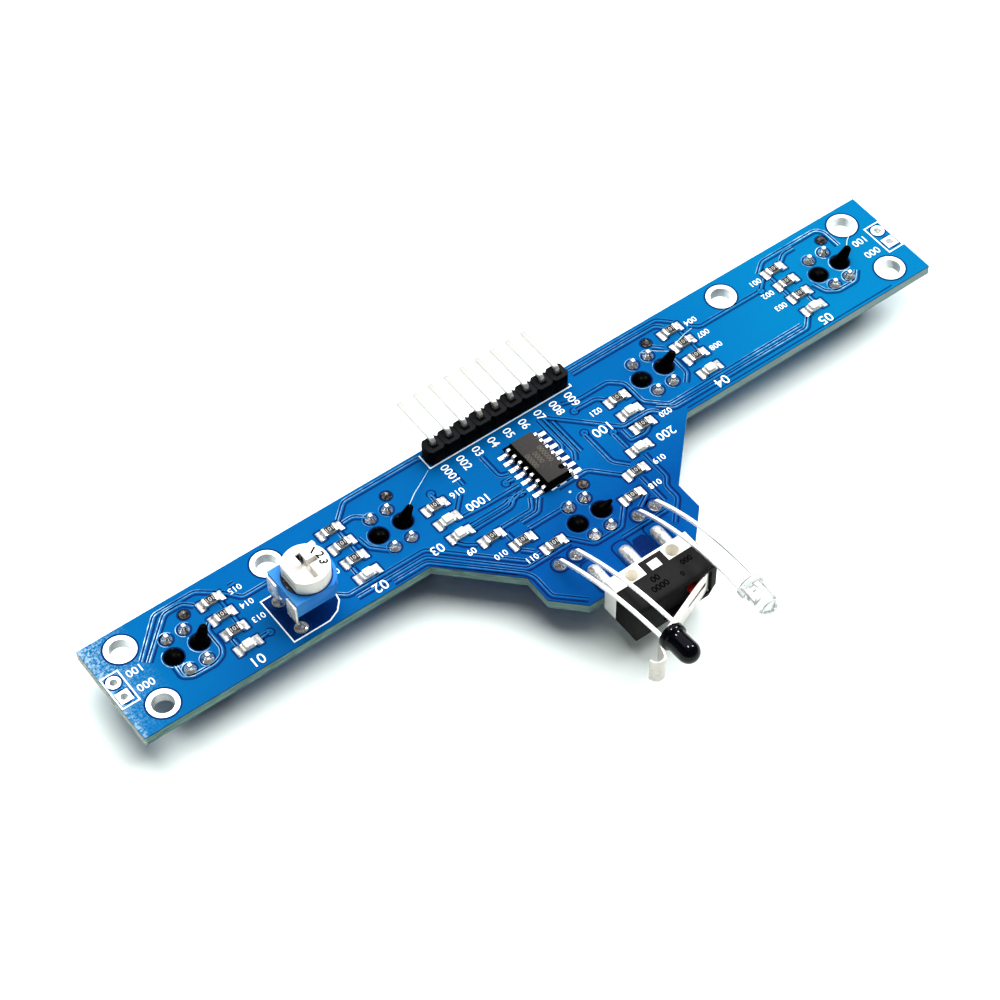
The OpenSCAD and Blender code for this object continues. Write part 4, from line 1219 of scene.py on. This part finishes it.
def build_sensors(context):
    """Housings, leads and lenses of the five sensors."""
    for i in SENSORS:
        paint("lead", f"sensor_{i}_leads")
        paint("blue_lens", f"sensor_{i}_emitter")
        paint("dark_lens", f"sensor_{i}_detector")
        dressed_copy(f"sensor_{i}_housing", f"sensor_{i}_shell", "peg", 0.08,
                     angle=32)


# Hair-thin strands drawn off the melted pegs: points over the board's face
STRANDS = [
    [(-18.3, 0.3, 2.2), (-16.4, 1.9, 1.4), (-14.2, 3.4, 0.6), (-12.2, 4.75, 0.05)],
    [(24.9, 0.1, 2.0), (26.6, 1.3, 1.5), (28.6, 2.2, 0.9), (30.7, 3.0, 0.05)],
    [(21.9, 3.4, 0.6), (23.4, 2.6, 0.8), (24.9, 1.7, 0.5), (26.0, 1.3, 0.1)],
    [(55.9, 0.3, 1.9), (57.3, 1.7, 1.2), (58.9, 2.9, 0.3), (59.6, 3.2, 0.03)],
]


def build_strands(context):
    """Strands that get thinner towards their ends."""
    shape = Shape()
    for path in STRANDS:
        path = [Vector(p) for p in path]
        rings = []
        for i, here in enumerate(path):
            ahead = (path[min(i + 1, len(path) - 1)] - path[max(i - 1, 0)]).normalized()
            turn = ahead.to_track_quat("Z", "Y").to_matrix()
            circle = ring_path((0, 0), 0.07 - 0.012 * i, 6)
            rings.append([here + turn @ Vector((*p, 0)) for p in circle])
        shape.add(*loft(rings))
    place(shape.mesh("peg_strands", ["strand"], smooth=True, weld=True))


def build_header(context):
    """The header's housing and pins, and painted shade: the web behind its notches, pits on top.
    """
    dressed_copy("header_body", "header_shell", "header", 0.06)
    dressed_copy("header_pins", "header_pin_row", "pin", 0.07)
    low, high = node_box("header_body")
    # Painted shade: black moulding behind the front notches
    web = Shape(block((PITCH * PIN_COUNT - 1.0, 0.5, high.z - 0.62), 0.04,
                      (HEADER_AT[0], low.y + 0.33, low.z + 0.02)))
    place(web.mesh("header_web", ["header"], crease=40))
    # Painted shade: dark flat sheets for the pits round the pins and the notches on top
    pits, top = Shape(), high.z + 0.004
    for x, y in HEADER_PADS:
        sheet_of(pits, rectangle(x - 0.5, y - 0.72, x + 0.5, y + 0.25), top)
    for x in HEADER_X[:-1]:
        x += PITCH / 2
        sheet_of(pits, rectangle(x - 0.06, low.y + 0.45, x + 0.06, high.y - 0.45), top)
    place(pits.mesh("header_pits", ["peg"]))


def build_chips(context):
    """Chip resistors, status lights and the comparator, with plain figures on top."""
    def repeat_parts(spots, change, parts):
        for name, solids, finish, slot, nodes in parts:
            repeat(Shape(*solids).mesh(name, crease=40), spots, finish, slot, nodes, *change)

    repeat_parts(RESISTOR_AT, (0.0, 0.03, 7), (
        ("resistor_cores", [block((1.4, 1.25, 0.44), 0.03)], "ceramic", "resistor_glaze",
         ["resistor_bodies"]),
        ("resistor_glaze", [block((1.22, 1.14, 0.06), 0.02, (0, 0, 0.43))], "glaze",
         "resistor_glaze", []),
        ("resistor_ends", [block((0.40, 1.27, 0.50), 0.07, (side * 0.81, 0, 0)) for side in BOTH],
         "pad_solder", "solder", ["resistor_caps"])))
    codes = Shape()
    for x, y in RESISTOR_AT:
        write_figures(codes, "101", (x, y + 0.05), 0.62, 180, 0.495, 0.008)
    place(codes.mesh("resistor_codes", ["code"]))
    repeat_parts(STATUS_AT, (), (
        ("status_bases", [block((1.95, 1.25, 0.34), 0.05)], "white", "led_body",
         [f"status_led_{i}" for i in range(1, 9)]),
        ("status_caps", [block((1.32, 1.16, 0.54), 0.16, (0, 0, 0.26), 3)], "cream", "led_body",
         [])))

    dressed_copy("ic_body", "ic_shell", "resin", 0.05)
    dressed_copy("ic_leads", "ic_lead_rows", "leg", 0.05)
    top_z = node_box("ic_body")[1].z
    dot = Shape(lathe([(0.42, 0.0), (0.40, 0.02), (0.30, 0.012), (0.0, 0.01)], 24,
                      at_spot(1.3, -6.2, top_z - 0.002)))
    place(dot.mesh("ic_dot", ["header"], smooth=True))
    figures = Shape()
    for across, text in ((0.95, "000000"), (-0.15, "0000"), (-1.2, "00000")):
        write_figures(figures, text, (across, CHIP_AT[1]), 0.72, -90, top_z + 0.002, -0.004)
    place(figures.mesh("ic_figures", ["chip_ink"]))


def build_trimmer(context):
    """Body, legs and numbered dial, with a painted-shade ring over the groove round the dial."""
    dressed_copy("trimmer_body", "trimmer_shell", "trimmer", 0.1)
    dressed_copy("trimmer_legs", "trimmer_leg_set", "trimmer_leg", 0.04)
    dressed_copy("trimmer_dial", "trimmer_knob", "dial", 0.1, "dial")
    paint("track", "trimmer_track")
    paint("brass", "trimmer_wiper")
    groove, figures = Shape(), Shape()
    # Painted shade: a dark flat ring over the groove round the dial
    rim = node_box("trimmer_body")[1].z + 0.003
    strip(groove, ring_path(TRIMMER_AT, DIAL_R + 0.1, 64), [(-0.075, rim, 0), (0.08, rim, 0)],
          closed=True)
    place(groove.mesh("trimmer_groove", ["groove"]))
    top_z = node_box("trimmer_dial")[1].z
    for text, azimuth in (("1", 32), ("2", 2), ("3", -28)):
        turn = radians(azimuth)
        at = (TRIMMER_AT[0] + 2.3 * cos(turn), TRIMMER_AT[1] + 2.3 * sin(turn))
        write_figures(figures, text, at, 1.05, azimuth - 90, top_z + 0.002, 0.05)
    place(figures.mesh("dial_figures", ["dial_ink"]), "dial")


def build_switch(context):
    """Cover, base, plunger, lever and terminals of the bump switch."""
    dressed_copy("switch_cover", "switch_cap", "cover", 0.12)
    figures = Shape()
    top_z = node_box("switch_cover")[1].z
    for text, at, height in (("00", (-1.0, -28.5), 0.9), ("0000", (-1.2, -29.8), 0.9),
                             ("000", (3.9, -28.6), 0.8), ("0", (2.2, -30.0), 0.7)):
        write_figures(figures, text, at, height, 180, top_z + 0.004, 0.03)
    place(figures.mesh("cover_figures", ["mould_mark"]))
    dressed_copy("switch_base", "switch_foot", "switch_white", 0.06)
    build_lever()
    dressed_copy("switch_plunger", "switch_button", "plunger", 0.08, "plunger")
    paint("pad_solder", "switch_common_terminal", "switch_open_terminal", "switch_closed_terminal")
    paint("brass", "switch_blade")


def build_lever():
    """Slotted lever plate whose end kicks out and rolls over, with its pin."""
    spot = at_spot(*LEVER_PIN) @ Matrix.Rotation(radians(180 + LEVER_REST), 4, "Z")
    across = (-2.05, -0.45, 0.45, 2.05)
    path = ([(-0.1, 0.15), (0.6, 0.15), (5.0, 0.15)]
            + rounded([(6.0, 0.15), (12.5, 0.15), (13.834, 1.743)], 0.5, 4)[:-1]
            + ring_path((14.6, 1.1), 1.0, 12, 140, -25))
    points = [spot @ Vector((along, away, z)) for along, away in path for z in across]
    faces = [(4 * i + j, 4 * i + j + 1, 4 * i + j + 5, 4 * i + j + 4)
             for i in range(len(path) - 1) for j in range(3) if (i, j) != (1, 1)]
    plate = add_object("switch_arm", new_mesh("switch_arm", points, faces, ["lever"]))
    thicken = plate.modifiers.new("thickness", "SOLIDIFY")
    thicken.thickness = 0.3 * MM
    thicken.offset = 0
    round_edges(plate, 0.05)
    done = apply_modifiers(plate)
    weld_mesh(done)
    soften(done, 40)
    settle(plate, "lever", ("switch_lever",))
    pin = Shape(lathe([(0.0, -2.7), (0.26, -2.7), (0.3, -2.66), (0.3, 2.66), (0.26, 2.7),
                       (0.0, 2.7)], 20, spot))
    place(pin.mesh("switch_lever_pin", ["lever"], crease=40), "lever")


# Where the lenses' backs are, and how far their axes point upwards in degrees
LENS_BACK = {"ir_transmitter": (-37.6, -3), "ir_receiver": (-38.2, 5)}


def lens_matrix(node):
    """Where a lens sits: its axis runs from its back along -Y, raised by its tilt."""
    back_y, tilt = LENS_BACK[node][0], radians(LENS_BACK[node][1])
    centre = node_centre(node)
    rise = (centre.y - back_y) / -cos(tilt) * sin(tilt)
    return (at_spot(centre.x, back_y, centre.z - rise)
            @ Matrix.Rotation(pi / 2 - tilt, 4, "X"))


def lens_profile(radius, flange, flange_t, length):
    """A flanged lens from its back to the top of its dome."""
    base = length - radius
    dome = [(radius * cos(pi * k / 20), base + radius * sin(pi * k / 20)) for k in range(10)]
    return ([(0.0, 0.0), (flange - 0.1, 0.0), (flange, 0.1), (flange, flange_t - 0.12),
             (flange - 0.12, flange_t), (radius + 0.12, flange_t), (radius, flange_t + 0.12)]
            + [(radius, flange_t + (base - flange_t) * k / 3) for k in (1, 2)]
            + dome + [(0.0, length)])


def build_pair(context):
    """The infrared pair, with the lead frame inside the clear lens and a painted-reflection ring.
    """
    dressed_copy("ir_transmitter_leads", "transmitter_leads", "lead", 0.09)
    dressed_copy("ir_receiver_leads", "receiver_leads", "lead", 0.09)
    for node, name, finish, slot in (
            ("ir_transmitter", "transmitter_lens", "clear", "clear_lens"),
            ("ir_receiver", "receiver_lens", "dark_lens", "black_lens")):
        lens = Shape(lathe(lens_profile(1.5, 1.85, 1.0, 5.05), 40, lens_matrix(node)))
        mesh = lens.mesh(name, [finish], smooth=True, weld=True)
        mesh.shade_smooth()
        place(mesh, replaced=(node,))
    posts = [block((wide, 0.42, tall), 0.05, (x, 0, 0.15))
             for x, wide, tall in ((-0.62, 0.62, 2.5), (0.55, 0.42, 2.1))]
    cup = lathe([(0.0, 2.2), (0.2, 2.25), (0.45, 2.65), (0.5, 2.85), (0.38, 2.85), (0.22, 2.6),
                 (0.0, 2.55)], 20, at_spot(-0.55, 0))
    # Painted reflection: a metal ring near the dome stands in for light mirrored inside it
    rim = ring_path((0.95, 4.05), 0.09, 8, -180, 180)
    ring = lathe(rim + rim[:1], 28)
    spot = lens_matrix("ir_transmitter")
    inner = Shape(*[([spot @ Vector(p) for p in points], faces)
                    for points, faces in (*posts, cup, ring)])
    place(inner.mesh("transmitter_frame", ["frame"], weld=True, crease=35))


# ---------- stage ----------

# Where the camera stands: turn from +Y, height above the horizon, roll, distance, lens
CAMERA_TURN = 35.79
CAMERA_RISE = 52.62
CAMERA_ROLL = radians(-1.116)
CAMERA_FAR = 355.3
CAMERA_LENS = 98.68
CAMERA_AIM = (-7.64, -4.81, 0.0)
SUN_TURN, SUN_RISE, SUN_WIDTH = 55, 50, radians(90)
FLOOR_REACH = 1500
# Brightness of the room's light from the horizon to overhead
ROOM = ((0.0, 0.85), (0.45, 0.7), (0.62, 0.18), (1.0, 1.0))


def heading(turn, rise):
    """Direction that many degrees round from +Y and up from the floor."""
    turn, rise = radians(turn), radians(rise)
    return Vector((sin(turn) * cos(rise), cos(turn) * cos(rise), sin(rise)))


def camera_axes():
    """Directions to the right, upwards and ahead in the picture."""
    ahead = heading(CAMERA_TURN, -CAMERA_RISE)
    level = ahead.cross(Vector((0, 0, 1))).normalized()
    upright = level.cross(ahead)
    return (level * cos(CAMERA_ROLL) + upright * sin(CAMERA_ROLL),
            upright * cos(CAMERA_ROLL) - level * sin(CAMERA_ROLL), ahead)


def hang_lamp(name, kind, towards, energy, **settings):
    """A lamp that shines on the board; a panel shows only in what is glossy, the sun never."""
    light = bpy.data.lights.new(name, kind)
    light.energy = energy
    for key, value in settings.items():
        setattr(light, key, value)
    lamp = add_object(name, light)
    lamp.location = towards
    lamp.rotation_euler = (-towards).to_track_quat("-Z", "Y").to_euler()
    lamp.visible_diffuse = kind != "AREA"
    lamp.visible_glossy = kind == "AREA"


def hang_panel(name, towards, wide, tall, level):
    """A bright rectangle for glossy parts to mirror."""
    hang_lamp(name, "AREA", towards, level * pi * wide * tall, shape="RECTANGLE", size=wide,
              size_y=tall)


def build_lamps(stage):
    """The sun, a wide reflector where a level face would mirror it, and two crisp points."""
    hang_lamp("soft_sun", "SUN", heading(SUN_TURN, SUN_RISE), stage.key, angle=SUN_WIDTH)
    hang_panel("reflector", heading(CAMERA_TURN, CAMERA_RISE) * 1.1, 1.5, 1.1, stage.shine)
    right, up, ahead = camera_axes()
    for name, x, y, z in (("sparkle_left", -0.07, 0.76, 0.64),
                          ("sparkle_right", 0.555, 0.759, 0.332)):
        hang_panel(name, right * x + up * y - ahead * z, 0.12, 0.26, stage.shine * 60.0)


def build_camera():
    """The camera, far off with a long lens."""
    right, up, ahead = camera_axes()
    lens = bpy.data.cameras.new("camera")
    lens.lens = CAMERA_LENS
    lens.sensor_width = 36
    lens.clip_start = 0.01
    lens.clip_end = 20
    camera = add_object("camera", lens)
    turn = Matrix((right, up, -ahead)).transposed().to_4x4()
    camera.matrix_world = at_spot(*(Vector(CAMERA_AIM) - ahead * CAMERA_FAR) * MM) @ turn
    bpy.context.scene.camera = camera


def build_room(fill):
    """Soft light from the room, bright low down and overhead."""
    world = bpy.data.worlds.new("studio")
    world.use_nodes = True
    m = Maker(world.node_tree)
    around = m.add("ShaderNodeTexCoord", {}, (), "Generated")
    height = m.add("ShaderNodeSeparateXYZ", {}, (around,), "Z")
    background = world.node_tree.nodes["Background"]
    m.put(background.inputs["Color"], m.add("ShaderNodeValToRGB", {"stops": ROOM}, (height,)))
    m.put(background.inputs["Strength"], fill)
    bpy.context.scene.world = world


def build_stage(context):
    """Floor, room, lamps and camera."""
    stage = context.scene.follower_stage
    floor = Shape()
    sheet_of(floor, rectangle(-FLOOR_REACH, -FLOOR_REACH, FLOOR_REACH, FLOOR_REACH),
             cad_low.z / MM - 0.02)
    add_object("studio_floor", floor.mesh("studio_floor", ["floor"]))
    build_room(stage.fill)
    build_lamps(stage)
    context.scene.view_settings.view_transform = "Standard"
    context.scene.view_settings.look = "Medium High Contrast"
    build_camera()


# ---------- operators and panel ----------

class FollowerStep(bpy.types.Operator):
    """One step of the build"""
    bl_options = {"REGISTER", "UNDO"}
    builders = ()

    def execute(self, context):
        for build in self.builders:
            build(context)
        return {"FINISHED"}


class FOLLOWER_OT_board(FollowerStep):
    """Finish the board and print its tracks on both faces"""
    bl_idname = "follower.board"
    bl_label = "Board and tracks"
    builders = (build_board, build_tracks, build_underside)


class FOLLOWER_OT_marks(FollowerStep):
    """Print the outlines and figures"""
    bl_idname = "follower.marks"
    bl_label = "Printed marks"
    builders = (build_marks,)


class FOLLOWER_OT_solder(FollowerStep):
    """Put solder on every joint"""
    bl_idname = "follower.solder"
    bl_label = "Solder"
    builders = (build_solder,)


class FOLLOWER_OT_sensors(FollowerStep):
    """Finish the five reflective sensors"""
    bl_idname = "follower.sensors"
    bl_label = "Sensors"
    builders = (build_sensors, build_strands)


class FOLLOWER_OT_header(FollowerStep):
    """Finish the pin header"""
    bl_idname = "follower.header"
    bl_label = "Pin header"
    builders = (build_header,)


class FOLLOWER_OT_chips(FollowerStep):
    """Build the chip resistors, the status lights and the integrated circuit"""
    bl_idname = "follower.chips"
    bl_label = "Chips"
    builders = (build_chips,)


class FOLLOWER_OT_trimmer(FollowerStep):
    """Finish the trimmer and number its dial"""
    bl_idname = "follower.trimmer"
    bl_label = "Trimmer"
    builders = (build_trimmer,)


class FOLLOWER_OT_switch(FollowerStep):
    """Finish the bump switch"""
    bl_idname = "follower.switch"
    bl_label = "Bump switch"
    builders = (build_switch,)


class FOLLOWER_OT_pair(FollowerStep):
    """Build the infrared pair's lenses and finish their leads"""
    bl_idname = "follower.pair"
    bl_label = "Infrared pair"
    builders = (build_pair,)


class FOLLOWER_OT_stage(FollowerStep):
    """Set the floor, the lamps and the camera"""
    bl_idname = "follower.stage"
    bl_label = "Stage"
    builders = (build_stage,)


STEPS = (FOLLOWER_OT_board, FOLLOWER_OT_marks, FOLLOWER_OT_solder, FOLLOWER_OT_sensors,
         FOLLOWER_OT_header, FOLLOWER_OT_chips, FOLLOWER_OT_trimmer, FOLLOWER_OT_switch,
         FOLLOWER_OT_pair, FOLLOWER_OT_stage)


class FOLLOWER_PT_build(bpy.types.Panel):
    """Lists the steps of the build"""
    bl_label = "Line follower board"
    bl_idname = "FOLLOWER_PT_build"
    bl_space_type = "VIEW_3D"
    bl_region_type = "UI"
    bl_category = "Follower"

    def draw(self, context):
        for step in STEPS:
            self.layout.operator(step.bl_idname)


CLASSES = (FollowerFinish, FollowerSizes, FollowerStage, *STEPS, FOLLOWER_PT_build)


def register():
    for cls in CLASSES:
        bpy.utils.register_class(cls)
    bpy.types.Scene.follower_finish = bpy.props.PointerProperty(type=FollowerFinish)
    bpy.types.Scene.follower_sizes = bpy.props.PointerProperty(type=FollowerSizes)
    bpy.types.Scene.follower_stage = bpy.props.PointerProperty(type=FollowerStage)


def unregister():
    del bpy.types.Scene.follower_finish
    del bpy.types.Scene.follower_sizes
    del bpy.types.Scene.follower_stage
    for cls in reversed(CLASSES):
        bpy.utils.unregister_class(cls)


def main():
    register()
    for step in STEPS:
        group, name = step.bl_idname.split(".")
        result = getattr(getattr(bpy.ops, group), name)()
        if result != {"FINISHED"}:
            raise RuntimeError(f"{step.bl_label} did not finish")


if __name__ == "__main__":
    main()
